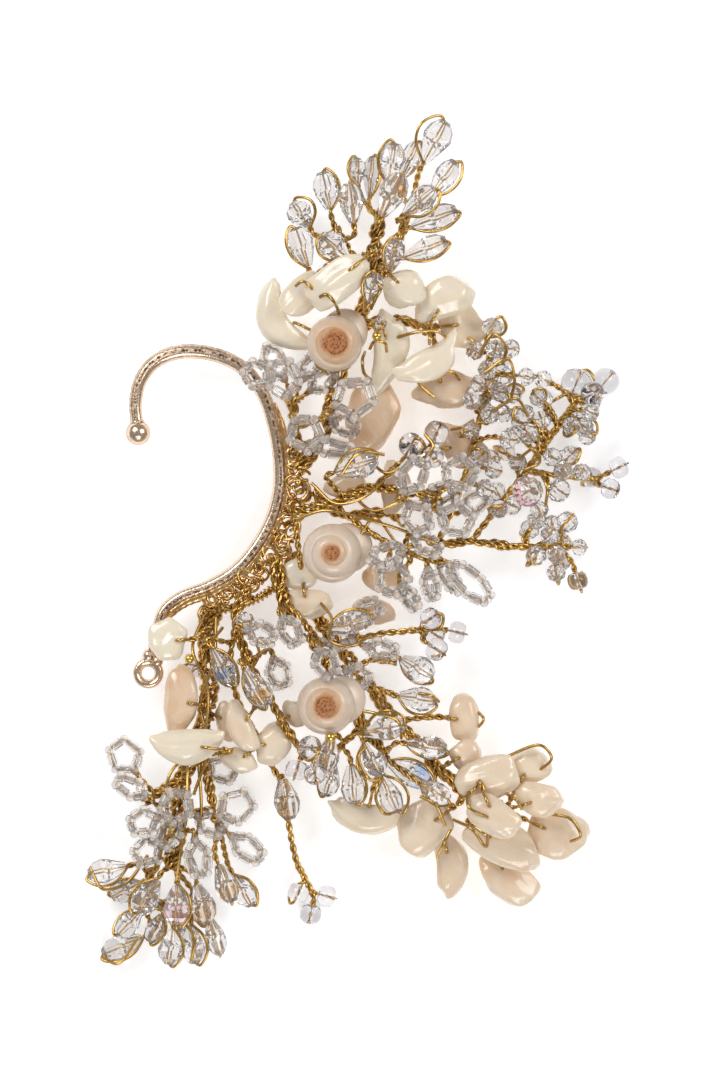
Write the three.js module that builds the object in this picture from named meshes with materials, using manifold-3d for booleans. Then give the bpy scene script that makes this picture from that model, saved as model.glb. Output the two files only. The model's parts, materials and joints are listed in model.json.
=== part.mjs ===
// Ear cuff: a cast hook with a lace of rings, carrying wired sprays of glass, bead petals,
// drilled nacre chips and small turban shells. It lies on its back.
// Millimetres. X runs across, Y up the ear, Z from the floor towards the viewer.
import * as THREE from 'three';
import { mergeVertices } from 'three/addons/utils/BufferGeometryUtils.js';
import Module from 'manifold-3d';

const wasm = await Module();
wasm.setup();

// Whole cuff, as it lies
const CUFF_WIDTH = 90;
const CUFF_HEIGHT = 140;
const CUFF_DEPTH = 19;

// Places are drawn for a cuff of 90 by 140 by 19, and stretch with it.
const ACROSS = CUFF_WIDTH / 90;
const UPWARD = CUFF_HEIGHT / 140;
const DEEP = CUFF_DEPTH / 19;

// Cast hook
const HOOK_WIDTH = 23.8;
const HOOK_HEIGHT = 50.6;
const HOOK_RIGHT = -13.3;
const HOOK_TOP = 31.1;
const HOOK_LEVEL = 6.4;
const BAR_THICK = 2.4;
const BAR_STEPS = 24;
const TIP_BALL_DIAMETER = 3.8;
const FLANGE_OUT = 0.7;
const LACE_RING_DIAMETER = 2;
const LACE_WIRE = 0.9;
const END_RING_DIAMETER = 5.1;
const END_RING_HOLE = 2.1;
const END_RING_THICK = 1.7;
const KNUCKLE_DIAMETER = 1.9;

// Wire, glass and shell
const TRUNK_WIRE = 1.5;
const BRANCH_WIRE = 1.1;
const STEM_WIRE = 0.8;
const BINDING_WIRE = 1.3;
const DROP_LENGTH = 6.6;
const DROP_WIDTH = 4.4;
const RONDELLE_DIAMETER = 3.3;
const ROUND_DIAMETER = 3.9;
const PETAL_LENGTH = 7;
const PETAL_BEAD = 1.5;
const CHIP_LENGTH = 10;
const CHIP_WIDTH = 6;
const CHIP_THICK = 3.6;
const SHELL_DIAMETER = 9.2;
const SHELL_HEIGHT = 6.4;
const CLEARANCE = 0.3;

// How stems leave a branch
const STEM_LEAD = 0.6;
const BEAD_LEAD = 0.2;
const HOLE_MARGIN = CLEARANCE * 1.6;

// How loose pieces are moved apart in depth
const SETTLE_GAP = 0.35;
const SETTLE_PASSES = 80;

// How much larger each kind is than the tables draw it: by column of its table.
const STRETCH = {
  drops: { length: DROP_LENGTH / 6.6, width: DROP_WIDTH / 4.4 },
  rondelles: { size: RONDELLE_DIAMETER / 3.3 },
  rounds: { size: ROUND_DIAMETER / 3.9 },
  petals: { long: PETAL_LENGTH / 7, wide: PETAL_LENGTH / 7 },
  chips: { length: CHIP_LENGTH / 10, width: CHIP_WIDTH / 6, thick: CHIP_THICK / 3.6 },
};
const LACE_STRETCH = LACE_RING_DIAMETER / 2;

const finish = (color, roughness, metalness) => (
  new THREE.MeshStandardMaterial({ color, roughness, metalness })
);
const GOLD_CAST = finish(0xd9b98a, 0.34, 1);
const GOLD_WIRE = finish(0xb98a2e, 0.3, 1);
const CRYSTAL = finish(0xdcdbe2, 0.08, 0);
const NACRE = finish(0xeee2cf, 0.32, 0);
const SHELL = finish(0xe9d3bf, 0.4, 0);

const vec = (x, y, z) => new THREE.Vector3(x, y, z);
const turned = (degrees) => THREE.MathUtils.degToRad(degrees);

/** A table: one object for each row, with the named columns. */
function table(columns, rows) {
  const names = columns.split(' ');
  return rows.map((row) => Object.fromEntries(names.map((name, i) => [name, row[i]])));
}

// Hook centreline: shares of the hook's width leftwards and of its height downwards, and of the bar.
const HOOK_SECTIONS = table('left down thick', [
  [0.987, 0.239, 0.86],
  [1.0, 0.174, 0.88],
  [0.97, 0.1, 0.92],
  [0.878, 0.038, 0.96],
  [0.731, 0.004, 1.0],
  [0.555, 0.0, 1.0],
  [0.382, 0.02, 1.0],
  [0.231, 0.063, 0.97],
  [0.109, 0.144, 0.93],
  [0.038, 0.249, 0.9],
  [0.004, 0.348, 0.88],
  [0.004, 0.447, 0.87],
  [0.05, 0.536, 0.86],
  [0.151, 0.628, 0.85],
  [0.307, 0.713, 0.84],
  [0.492, 0.765, 0.82],
  [0.676, 0.798, 0.8],
  [0.798, 0.842, 0.78],
  [0.853, 0.911, 0.76],
  [0.891, 1.0, 0.76],
]);

/** Multiplies columns of a table's rows by shares. */
function stretch(rows, shares) {
  for (const row of rows) {
    for (const [column, share] of Object.entries(shares)) row[column] *= share;
  }
}

// Rings of the lace: place as a share of the centreline, distance out from it, and ring size.
const LACE_RINGS = table('along out ring', [
  [0.5, 2.4, 2.0],
  [0.528, 2.3, 2.0],
  [0.562, 3.1, 3.6],
  [0.598, 2.3, 1.8],
  [0.626, 3.0, 3.8],
  [0.664, 4.2, 2.0],
  [0.684, 2.5, 2.9],
  [0.714, 2.4, 1.9],
  [0.748, 2.4, 2.0],
  [0.74, 3.6, 1.9],
  [0.78, 2.3, 1.9],
  [0.812, 2.3, 1.9],
]);
stretch(LACE_RINGS, { out: LACE_STRETCH, ring: LACE_STRETCH });

// Where each spray is wired on: a ring of the lace, and the side of its wire that the trunk sits at.
const ROOTS = {
  crown: { ring: LACE_RINGS[1], seat: 'over' },
  shoulder: { ring: LACE_RINGS[0], seat: 'over' },
  side: { ring: LACE_RINGS[2], seat: 'beyond' },
  middle: { ring: LACE_RINGS[3], seat: 'over' },
  lower: { ring: LACE_RINGS[5], seat: 'under' },
  drops: { ring: LACE_RINGS[6], seat: 'over' },
  sprigs: { ring: LACE_RINGS[8], seat: 'over' },
  tail: { ring: LACE_RINGS[11], seat: 'under' },
};

// Sprays. A branch is a list of points after its start; a spray's first branch starts at its root.
const SPRAYS = {
  crown: {
    name: 'crown_spray',
    branches: [
      [[-6.2, 18, 7.6], [-3.6, 26, 6.6], [-0.6, 35, 6.4], [1.6, 43, 8], [2.6, 50, 9], [3, 54, 9.5]],
      [[1.6, 43, 8], [5.6, 48.5, 9.5], [8.6, 55, 9.4]],
      [[1.6, 43, 8], [-2, 47.6, 9], [-4.2, 51.4, 8.6]],
      [[-0.6, 35, 6.4], [5, 36.6, 6.4], [12.4, 35, 6]],
    ],
    drops: table('x y z length width heading lift', [
      [12.4, 65.8, 8, 7.4, 5.0, 62, 0],
      [13.8, 59.6, 10, 6.9, 4.0, 55, 0],
      [12.2, 52.9, 13, 8.0, 4.3, 20, 8],
      [10.8, 48.0, 9.4, 7.4, 4.0, 22, 0],
      [9.8, 55.6, 14.6, 6.6, 4.1, 40, 15],
      [5.2, 56.6, 15, 7.6, 4.8, 65, 15],
      [5.2, 62.2, 9.6, 6.6, 4.4, 80, 5],
      [8.2, 62.9, 4.4, 6.6, 3.3, 68, -10],
      [-1.4, 55.4, 13, 6.6, 4.6, 96, 10],
      [-5.6, 57.6, 9, 6.3, 4.5, 102, 0],
      [-9.8, 53.8, 5.4, 4.8, 4.4, 125, -10],
      [-9.6, 48.3, 9.4, 6.8, 4.6, 108, 5],
      [-4.2, 48.2, 14, 5.6, 4.6, 140, 20],
      [-0.4, 61.0, 6.4, 4.3, 3.0, 92, -10],
      [1.8, 60.2, 2.2, 6.9, 3.0, 86, -12],
      [5.6, 46.8, 13.4, 5.8, 3.6, 75, 25],
    ]),
    rondelles: table('x y z size', [[3.3, 35.6, 12.4, 2.4]]),
    chips: table('x y z length width thick turn bend taper tip', [
      [-12.9, 36.8, 8.6, 12.0, 5.0, 3.4, -62, 0.24, 0.1, 0],
      [-3.6, 42.6, 13.8, 10.8, 5.8, 3.6, 36, 0.05, -0.15, 10],
      [-9.6, 40.4, 13, 7.6, 4.8, 3.0, 40, 0, 0.1, -8],
      [7.4, 41.3, 12.4, 6.6, 6.2, 3.8, 10, 0, 0, 0],
      [14.0, 39.4, 11.4, 9.6, 5.8, 3.8, 24, -0.16, 0.1, 6],
      [17.8, 35.6, 6.4, 8.2, 4.6, 2.6, -38, 0.2, 0.3, 0],
      [5.0, 31.0, 9.4, 10.6, 4.6, 2.6, 84, 0.12, 0.12, 10],
      [11.4, 31.2, 9.2, 9.4, 4.2, 2.6, 10, 0.05, 0.2, 0],
      [13.7, 24.9, 7.0, 8.2, 5.4, 3.2, 12, -0.08, 0.15, 5],
      [2.4, 20.8, 6.0, 11.2, 7.8, 3.4, 74, 0.05, -0.15, 0],
    ]),
  },
  shoulder: {
    name: 'shoulder_bead_petals',
    branches: [
      [[-11, 18.6, 10.9], [-11, 22.4, 10.6]],
      [[-11, 18.6, 10.9], [-6.8, 19.8, 12.4], [-4.6, 21.4, 13]],
    ],
    petals: table('x y z long wide corners heading lean', [
      [-17.0, 27.3, 10.0, 3.1, 2.9, 5, 140, 15],
      [-12.6, 26.6, 12.0, 3.9, 3.4, 5, 100, -20],
      [-8.2, 28.6, 9.6, 2.8, 2.4, 5, 60, 30],
      [-8.9, 17.4, 14.0, 3.7, 3.5, 5, -50, 12],
      [-0.9, 23.3, 15.0, 4.1, 3.9, 5, 20, -15],
      [-4.6, 15.2, 12.2, 4.4, 2.2, 5, -10, 35],
    ]),
  },
  side: {
    name: 'rondelle_spray',
    branches: [
      [[-3.2, 4.4, 6], [5, 4.2, 5.4], [12.6, -0.6, 6.4], [18.2, -0.2, 8], [27.2, -1.2, 8], [32.4, -0.9, 7]],
      [[18.2, -0.2, 8], [23, 5.8, 8], [27.4, 11.4, 8], [32.4, 18.4, 6.6], [36.2, 23.6, 5.4]],
      [[12.6, -0.6, 6.4], [16.6, 8.4, 8.4], [19.4, 18.4, 9], [21, 26.6, 9], [21.6, 32.6, 8.6]],
      [[27.4, 11.4, 8], [33.4, 10.6, 6], [39.6, 10, 4]],
    ],
    rondelles: table('x y z size', [
      [21.8, 35.1, 8.8, 3.6],
      [22.2, 31.4, 12.2, 3.3],
      [19.0, 31.2, 10.6, 3.3],
      [22.9, 24.4, 11.6, 3.4],
      [18.4, 22.9, 12.0, 3.3],
      [21.4, 20.6, 12.8, 3.3],
      [18.2, 18.0, 11.8, 3.2],
      [27.4, 26.9, 9.4, 3.2],
      [30.2, 23.2, 9.4, 3.4],
      [27.2, 20.8, 11.2, 3.3],
      [27.9, 17.4, 9.8, 3.3],
      [24.4, 16.6, 12.2, 3.4],
      [19.7, 13.6, 12.2, 3.3],
      [22.0, 11.6, 10.6, 3.3],
      [20.6, 8.5, 11.4, 3.3],
      [22.8, 5.1, 11.2, 3.2],
      [27.6, 8.0, 11.4, 5.4],
      [31.6, 13.7, 9.4, 3.3],
      [34.8, 14.0, 7.0, 3.4],
      [32.8, 8.2, 9.2, 4.2],
      [37.6, 17.2, 4.6, 3.3],
      [34.8, 18.8, 9.2, 3.2],
      [38.0, 21.0, 6.6, 3.2],
      [31.2, 0.8, 10.6, 3.3],
      [29.0, -2.6, 11.0, 3.6],
      [32.4, -2.4, 10.0, 3.3],
      [36.2, -1.2, 6.8, 3.0],
      [32.4, -5.4, 6.4, 3.4],
    ]),
    rounds: table('x y z size', [
      [35.8, 26.0, 2.9, 5.2],
      [40.8, 26.4, 2.4, 4.6],
      [38.4, 24.2, 5.6, 4.0],
      [38.4, 10.4, 1.9, 3.5],
      [42.9, 12.0, 3.4, 3.7],
      [41.4, 8.5, 5.2, 3.5],
      [36.0, -6.7, 5.6, 3.6],
    ]),
  },
  middle: {
    name: 'middle_spray',
    branches: [
      [[-4.6, 6.2, 10.4], [2, 8.6, 11.6], [8.6, 7.8, 12], [13.2, 7.4, 12.4]],
      [[-4.6, 6.2, 10.4], [2.6, 0.6, 11.4], [9.4, -2.6, 11.6], [13.2, -3.8, 11.6]],
      [[2, 8.6, 11.6], [7, 13, 11.6], [11, 15.2, 11.2]],
    ],
    drops: table('x y z length width heading lift', [[-0.6, 12.2, 14.4, 7.2, 4.8, 18, 12]]),
    rounds: table('x y z size', [
      [8.4, 15.6, 14.4, 4.2],
      [12.6, 17.6, 13.4, 4.2],
      [12.0, 13.6, 15.0, 3.6],
    ]),
    petals: table('x y z long wide corners heading lean', [
      [8.6, 10.6, 16.0, 3.8, 3.0, 5, 60, 20],
      [16.4, 11.0, 14.6, 3.5, 3.4, 5, 45, -12],
      [9.4, 3.6, 15.2, 3.4, 3.0, 5, -60, 15],
      [15.8, 3.4, 13.2, 3.6, 3.4, 5, -25, -18],
      [5.4, -6.4, 14.4, 3.5, 3.4, 5, -110, 12],
      [11.6, -7.4, 13.4, 3.2, 2.2, 5, -80, 40],
      [18.0, -7.0, 12.4, 5.2, 2.7, 7, -42, -15],
    ]),
    chips: table('x y z length width thick turn bend taper tip', [
      [5.6, 8.6, 7.8, 8.2, 4.2, 2.6, 86, 0.1, 0.1, 0],
      [-2.4, 8.8, 7.0, 6.6, 3.8, 2.4, 4, 0, 0.1, 0],
      [16.4, 15.4, 7.0, 7.4, 4.6, 2.6, -40, 0.08, 0.1, 0],
      [4.0, -6.2, 8.6, 6.8, 4.8, 3.0, -10, 0, -0.1, 0],
    ]),
  },
  lower: {
    name: 'nacre_spray',
    branches: [
      [
        [-8.6, -10.8, 4.4], [-2, -19.6, 5], [6, -29.8, 6.4],
        [12.4, -36.8, 7.6], [18.4, -42.6, 8.4], [24.4, -44.8, 8],
      ],
      [[12.4, -36.8, 7.6], [12.6, -42.4, 7.4], [13.4, -46.6, 7]],
      [[18.4, -42.6, 8.4], [20.8, -47.6, 6.6], [22.4, -52.4, 4.6]],
      [[6, -29.8, 6.4], [11, -29.2, 7], [15, -29.4, 7.6]],
    ],
    chips: table('x y z length width thick turn bend taper tip', [
      [17.2, -29.6, 8.0, 7.4, 4.6, 3.2, 96, 0, 0.1, 0],
      [17.4, -35.2, 10.6, 5.0, 4.4, 3.0, 30, 0, 0, 0],
      [20.9, -39.0, 12.6, 9.6, 6.2, 3.8, 14, 0.08, 0.1, 6],
      [27.8, -37.4, 10.4, 6.4, 5.4, 3.6, 28, 0, 0.1, 0],
      [29.6, -42.6, 12.0, 7.4, 5.0, 3.4, -12, 0.06, 0, 0],
      [22.0, -45.4, 14.6, 8.8, 5.4, 3.4, -32, 0.12, 0, 5],
      [23.6, -50.4, 9.2, 11.8, 6.0, 3.6, -24, -0.08, 0.1, 0],
      [32.4, -48.4, 7.2, 9.0, 7.2, 3.8, -18, 0, 0.1, 0],
      [24.6, -56.2, 3.8, 10.2, 5.8, 3.4, -34, 0.06, 0.1, 0],
      [10.8, -47.2, 9.4, 9.0, 7.2, 3.8, 58, 0, -0.1, 0],
      [14.8, -53.8, 5.0, 9.8, 4.8, 3.2, 96, 0.14, 0, 0],
      [2.2, -12.0, 2.6, 6.6, 4.0, 2.6, -10, 0, 0, 0],
    ]),
  },
  drops: {
    name: 'drop_spray',
    branches: [
      [[-11.6, -11.6, 9.6], [-7, -17.6, 10], [-3.6, -23.4, 10], [0.6, -30.4, 10.6], [4, -35.6, 11]],
      [[-7, -17.6, 10], [-2, -16.6, 11], [5, -15.2, 11.2], [10.6, -14.8, 10.6]],
      [[-3.6, -23.4, 10], [1.6, -19.8, 11], [6, -20.2, 11]],
      [[-3.6, -23.4, 10], [1.6, -24.2, 10.6], [5.4, -25.4, 10.4]],
      [[0.6, -30.4, 10.6], [-3.4, -34.2, 10]],
    ],
    drops: table('x y z length width heading lift', [
      [-1.6, -13.6, 13.4, 7.0, 4.0, 12, 10],
      [9.4, -21.1, 10.4, 6.0, 4.8, -30, 0],
      [9.4, -26.1, 10.8, 6.0, 4.3, -8, 0],
      [4.0, -31.0, 14.6, 6.9, 4.3, 12, 20],
      [11.0, -34.0, 11.8, 6.6, 4.0, -8, 10],
      [2.2, -36.0, 15.4, 6.0, 4.0, -62, 15],
      [8.2, -38.4, 12.2, 7.6, 4.5, -28, 5],
      [12.4, -41.4, 12.4, 5.2, 4.0, -30, 0],
      [4.8, -41.8, 13.4, 6.6, 4.0, -66, 8],
      [-1.2, -40.2, 11.0, 6.3, 4.3, -84, 0],
      [-5.0, -39.6, 7.0, 5.6, 3.8, -104, -12],
      [-5.2, -35.2, 12.4, 5.8, 4.0, -100, 12],
    ]),
    rounds: table('x y z size', [
      [11.6, -12.9, 12.2, 3.7],
      [12.6, -18.0, 10.4, 3.9],
      [16.0, -15.2, 10.4, 3.7],
      [12.4, -15.6, 8.2, 3.5],
    ]),
    petals: table('x y z long wide corners heading lean', [
      [-11.4, -15.0, 14.2, 3.2, 2.6, 5, -60, 25],
      [1.4, -11.6, 9.6, 2.9, 2.6, 5, 30, 15],
      [-5.6, -20.2, 14.4, 3.2, 2.7, 5, -60, -20],
      [-0.4, -22.4, 14.2, 2.9, 2.6, 5, -30, 25],
    ]),
    chips: table('x y z length width thick turn bend taper tip', [
      [1.2, -45.2, 8.4, 12.4, 5.0, 3.4, -6, 0.2, 0, 0],
    ]),
  },
  sprigs: {
    name: 'long_sprigs',
    branches: [
      [[-20.4, -13.6, 9.6], [-18.0, -20.4, 12], [-15.2, -25.4, 12.6], [-12.6, -30.4, 12], [-9.4, -35.0, 11]],
      [
        [-20.4, -13.6, 9.6], [-21.4, -21.8, 8.4], [-19.4, -28.0, 6.6],
        [-16.0, -34.4, 6.6], [-12.8, -40.4, 6.6],
      ],
      [[-12.8, -40.4, 6.6], [-11.9, -46.6, 6], [-10.6, -52.8, 5], [-8.2, -58, 4]],
    ],
    drops: table('x y z length width heading lift', [
      [-22.6, -20.9, 13.2, 6.9, 4.0, -62, 10],
      [-17.0, -24.2, 16, 6.9, 4.4, -58, 0],
      [-12.2, -42.8, 6.8, 6.8, 4.6, -80, 0],
    ]),
    rondelles: table('x y z size', [[-18.9, -13.4, 12.6, 3.4]]),
    rounds: table('x y z size', [
      [-8.2, -34.0, 13.6, 3.9],
      [-10.4, -37.8, 11.2, 3.9],
      [-7.4, -38.4, 14.2, 3.7],
      [-10.2, -58.4, 4.2, 3.6],
      [-5.5, -59.0, 3.4, 3.7],
      [-8.2, -62.0, 2.6, 3.7],
    ]),
    petals: table('x y z long wide corners heading lean', [
      [-16.2, -15.4, 14.4, 3.2, 2.5, 5, -20, 20],
      [-13.4, -22.0, 8.0, 3.2, 2.6, 5, -70, -25],
    ]),
    chips: table('x y z length width thick turn bend taper tip', [
      [-14.4, -33.8, 10.4, 6.6, 5.0, 3.0, 70, 0, 0.1, 0],
      [-19.4, -30.8, 11.6, 8.4, 3.8, 2.8, -64, 0.08, 0, 0],
      [-20.0, -36.4, 9.2, 5.6, 3.6, 2.6, -20, 0, 0, 0],
      [-11.0, -28.6, 8.8, 4.8, 3.2, 2.4, -60, 0, 0, 0],
    ]),
  },
  tail: {
    name: 'tail_spray',
    branches: [
      [
        [-25.4, -18, 4.6], [-25.2, -26.4, 5.6], [-26.6, -33, 7.4],
        [-29, -39.6, 8.4], [-30, -47, 8.6], [-30.8, -54.2, 8],
      ],
      [[-29, -39.6, 8.4], [-33, -41.6, 9.6], [-35.6, -43.4, 9.6]],
      [[-26.6, -33, 7.4], [-24.8, -40.4, 8.8], [-23.2, -47.2, 8.6]],
      [[-30, -47, 8.6], [-34.4, -55, 6], [-36.2, -60.4, 3.6]],
    ],
    drops: table('x y z length width heading lift', [
      [-41.8, -54.6, 6.2, 6.4, 4.3, 192, 0],
      [-38.8, -58.0, 3.4, 5.2, 4.0, 208, -8],
      [-35.0, -58.8, 9.2, 6.4, 4.6, 240, 5],
      [-30.2, -60.0, 12, 6.6, 4.6, 268, 0],
      [-26.0, -60.0, 9.6, 6.6, 4.6, 285, 0],
      [-22.2, -56.6, 9.4, 6.6, 4.0, 290, 0],
      [-19.4, -58.0, 5.4, 5.8, 4.0, 300, -10],
      [-38.2, -63.4, 3.0, 5.4, 4.0, 228, 0],
      [-39.4, -67.3, 2.6, 7.2, 4.3, 203, 0],
      [-31.2, -67.0, 8.2, 5.8, 4.2, 263, -5],
      [-27.6, -66.8, 8.0, 6.3, 4.2, 276, -5],
      [-24.0, -65.6, 6.0, 6.2, 3.8, 286, -10],
    ]),
    rondelles: table('x y z size', [[-27.6, -21.6, 8.2, 2.8]]),
    petals: table('x y z long wide corners heading lean', [
      [-38.8, -35.6, 9.4, 3.6, 3.4, 5, 125, 12],
      [-37.8, -40.6, 13.0, 3.5, 2.5, 5, 150, 35],
      [-35.6, -46.4, 13.4, 3.2, 2.9, 5, 200, -15],
      [-35.0, -51.4, 9.6, 3.2, 2.9, 5, 210, 10],
      [-30.2, -43.8, 13.4, 3.5, 3.3, 5, 80, 8],
      [-26.6, -52.4, 12.6, 3.8, 2.6, 5, -80, -20],
      [-20.4, -43.8, 12.0, 3.8, 3.4, 5, 30, 10],
      [-18.6, -50.8, 9.0, 3.9, 2.6, 5, -38, 18],
      [-22.8, -38.0, 5.4, 3.2, 2.8, 5, -30, -25],
    ]),
    chips: table('x y z length width thick turn bend taper tip', [
      [-31.6, -16.6, 10.6, 6.4, 5.4, 2.8, 70, 0, 0.1, 0],
      [-29.7, -26.6, 9.4, 11.2, 5.4, 3.4, 84, 0.06, 0.1, 0],
      [-28.4, -33.6, 11.8, 10.8, 5.6, 3.2, 6, -0.1, 0, 0],
      [-22.0, -30.0, 5.0, 6.0, 3.6, 2.6, -80, 0, 0, 0],
    ]),
  },
};

// Turban shells, with the heading of the lip.
const SHELLS = table('name x y z size lip', [
  ['upper_shell', -4.2, 32.3, 12.0, 1.0, 40],
  ['middle_shell', -4.6, -2.2, 11.4, 1.06, 20],
  ['lower_shell', -5.6, -27.2, 14.2, 1.04, 100],
]);

// Every place stretches with the cuff, and every size with the stones of its kind.
const PLACES = { x: ACROSS, y: UPWARD, z: DEEP };
stretch(SHELLS, PLACES);
for (const parts of Object.values(SPRAYS)) {
  for (const line of parts.branches) stretch(line, [ACROSS, UPWARD, DEEP]);
  for (const [kind, sizes] of Object.entries(STRETCH)) stretch(parts[kind] ?? [], { ...PLACES, ...sizes });
}

/** Points of a smooth line through the given ones, with the same number of steps in each stretch. */
function smooth(points, steps) {
  const curve = new THREE.CatmullRomCurve3(points, false, 'centripetal');
  const count = steps * (points.length - 1);
  return Array.from({ length: count + 1 }, (_, i) => curve.getPoint(i / count));
}

/** Directions along a line of points. */
function tangents(points) {
  return points.map((_, i) => {
    const next = points[Math.min(i + 1, points.length - 1)];
    return next.clone().sub(points[Math.max(i - 1, 0)]).normalize();
  });
}

/** A geometry without doubled points, as a solid. */
function solid(geometry) {
  geometry.deleteAttribute('normal');
  geometry.deleteAttribute('uv');
  const merged = mergeVertices(geometry, 1e-4);
  return new wasm.Manifold(new wasm.Mesh({
    numProp: 3,
    vertProperties: new Float32Array(merged.attributes.position.array),
    triVerts: new Uint32Array(merged.index.array),
  }));
}

/** A rod with round sections along a line of points, closed at both ends; a ridge may stand out of it. */
function rod(points, radii, sides, ridge = () => 0) {
  const along = tangents(points);
  let side = Math.abs(along[0].z) < 0.9 ? vec(0, 0, 1) : vec(1, 0, 0);
  const positions = [];
  points.forEach((point, i) => {
    side = side.clone().addScaledVector(along[i], -side.dot(along[i])).normalize();
    const other = along[i].clone().cross(side);
    const round = Array.isArray(radii) ? radii[i] : radii;
    for (let k = 0; k < sides; k += 1) {
      const angle = (2 * Math.PI * k) / sides;
      const radius = round + ridge(i / (points.length - 1), angle);
      const spot = point.clone().addScaledVector(side, radius * Math.cos(angle));
      spot.addScaledVector(other, radius * Math.sin(angle));
      positions.push(...spot.toArray());
    }
  });
  const faces = [];
  const last = (points.length - 1) * sides;
  for (let k = 1; k < sides - 1; k += 1) {
    faces.push(0, k + 1, k);
    faces.push(last, last + k, last + k + 1);
  }
  for (let i = 0; i < points.length - 1; i += 1) {
    for (let k = 0; k < sides; k += 1) {
      const a = i * sides + k;
      const b = i * sides + ((k + 1) % sides);
      faces.push(a, b, b + sides, a, b + sides, a + sides);
    }
  }
  const geometry = new THREE.BufferGeometry();
  geometry.setAttribute('position', new THREE.Float32BufferAttribute(positions, 3));
  geometry.setIndex(faces);
  return solid(geometry);
}

/** All solids of a list joined into one. */
function fuse(solids) {
  if (solids.length === 1) return solids[0];
  const half = Math.ceil(solids.length / 2);
  return fuse(solids.slice(0, half)).add(fuse(solids.slice(half)));
}

/** A direction in the cuff's plane, turned by the heading and lifted towards the viewer. */
function direction(heading, lift = 0) {
  const flat = Math.cos(turned(lift));
  return vec(flat * Math.cos(turned(heading)), flat * Math.sin(turned(heading)), Math.sin(turned(lift)));
}

/** A body turned from an outline about an axis; the outline holds shares of radius and length. */
function turning(outline, radius, length, sides, centre, axis) {
  const profile = outline.map(([r, h]) => new THREE.Vector2(r * radius, h * length));
  const geometry = new THREE.LatheGeometry(profile, sides);
  geometry.applyQuaternion(new THREE.Quaternion().setFromUnitVectors(vec(0, 1, 0), axis));
  geometry.translate(centre.x, centre.y, centre.z);
  return solid(geometry);
}

// Cut stones from the stem to the table: places along the stone and radii, as shares of its size.
const DROP_CUT = table('place radius', [[-0.5, 0.36], [0.04, 1], [0.5, 0.46]]);
const RONDELLE_CUT = table('place radius', [[-0.42, 0.5], [-0.02, 1], [0.42, 0.6]]);
const DROP_SIDES = 5;
const RONDELLE_SIDES = 5;
const ROUND_SIDES = 6;
const TUBE_SIDES = 4;
const BRANCH_SIDES = 4;
const STEM_SIDES = 3;

/** A cut stone about an axis, grown from the last of its stem's points where it has a stem. */
function stone(cut, centre, axis, length, width, sides, stem = []) {
  const points = cut.map(({ place }) => centre.clone().addScaledVector(axis, place * length));
  const radii = cut.map(({ radius }) => (radius * width) / 2);
  return rod([...stem, ...points], [...stem.map(() => STEM_WIRE / 2), ...radii], sides);
}

/** A ring of straight beads between corners, seen as a petal with its first corner at the stem. */
function petal(row) {
  const along = direction(row.heading);
  const across = vec(-along.y, along.x, 0).applyAxisAngle(along, turned(row.lean));
  const face = along.clone().cross(across);
  const geometry = new THREE.TorusGeometry(1, PETAL_BEAD / row.long, TUBE_SIDES, row.corners);
  const positions = geometry.attributes.position;
  const width = row.wide - PETAL_BEAD / 2;
  const length = row.long - PETAL_BEAD / 2;
  const spot = new THREE.Vector3();
  for (let i = 0; i < positions.count; i += 1) {
    spot.fromBufferAttribute(positions, i);
    const reach = Math.hypot(spot.x, spot.y);
    const swell = ((reach - 1) * row.long) / 2;
    const x = (spot.x / reach) * (length + swell);
    const y = (spot.y / reach) * (width + swell);
    const z = (spot.z * row.long) / 2;
    const place = vec(row.x, row.y, row.z).addScaledVector(along, -x);
    place.addScaledVector(across, -y).addScaledVector(face, z);
    positions.setXYZ(i, place.x, place.y, place.z);
  }
  return solid(geometry);
}

/** A chip's pebble: a ball stretched, tapered and bent like a bean. */
function pebble(row) {
  const geometry = new THREE.SphereGeometry(1, 6, 4);
  const positions = geometry.attributes.position;
  for (let i = 0; i < positions.count; i += 1) {
    const x = -positions.getY(i);
    const swell = 1 + row.taper * x;
    const y = positions.getX(i) * swell;
    const z = positions.getZ(i) * (1 + 0.5 * row.taper * x);
    const bow = row.bend * (x * x - 0.4) * row.length * 0.5;
    positions.setXYZ(i, (x * row.length) / 2, (y * row.width) / 2 + bow, (z * row.thick) / 2);
  }
  geometry.rotateY(turned(-row.tip));
  geometry.rotateZ(turned(row.turn));
  geometry.translate(row.x, row.y, row.z);
  return solid(geometry);
}

/** The nearest point of a spray's branches to a place, moved back along its branch. */
function fork(branches, place, lead) {
  let best = { distance: Infinity };
  for (const line of branches) {
    line.forEach((point, i) => {
      const distance = point.distanceTo(place);
      if (distance < best.distance) best = { distance, line, i };
    });
  }
  let { i } = best;
  let walked = 0;
  while (i > 0 && walked < lead) {
    walked += best.line[i].distanceTo(best.line[i - 1]);
    i -= 1;
  }
  return best.line[i];
}

// Hook: its centreline, and places on it

const hookCentreline = HOOK_SECTIONS.map(({ left, down }) => (
  vec(HOOK_RIGHT - left * HOOK_WIDTH, HOOK_TOP - down * HOOK_HEIGHT, HOOK_LEVEL)
));
const hookCurve = new THREE.CatmullRomCurve3(hookCentreline, false, 'centripetal');

/** A place outside the hook: share of the centreline, distance out, and height over its middle. */
function outside(along, out, rise = 0) {
  const heading = hookCurve.getTangentAt(along);
  const place = hookCurve.getPointAt(along);
  return place.add(vec(-heading.y * out, heading.x * out, rise));
}

/** The start of a spray's trunk, clear of the ring that it is wired to. */
function rootOf({ ring, seat }) {
  const rim = ring.out + ring.ring / 2;
  if (seat === 'beyond') return outside(ring.along, rim + LACE_WIRE / 2 + CLEARANCE);
  const rise = (LACE_WIRE + TRUNK_WIRE) / 2 + CLEARANCE;
  return outside(ring.along, rim, seat === 'over' ? rise : -rise);
}

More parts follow.
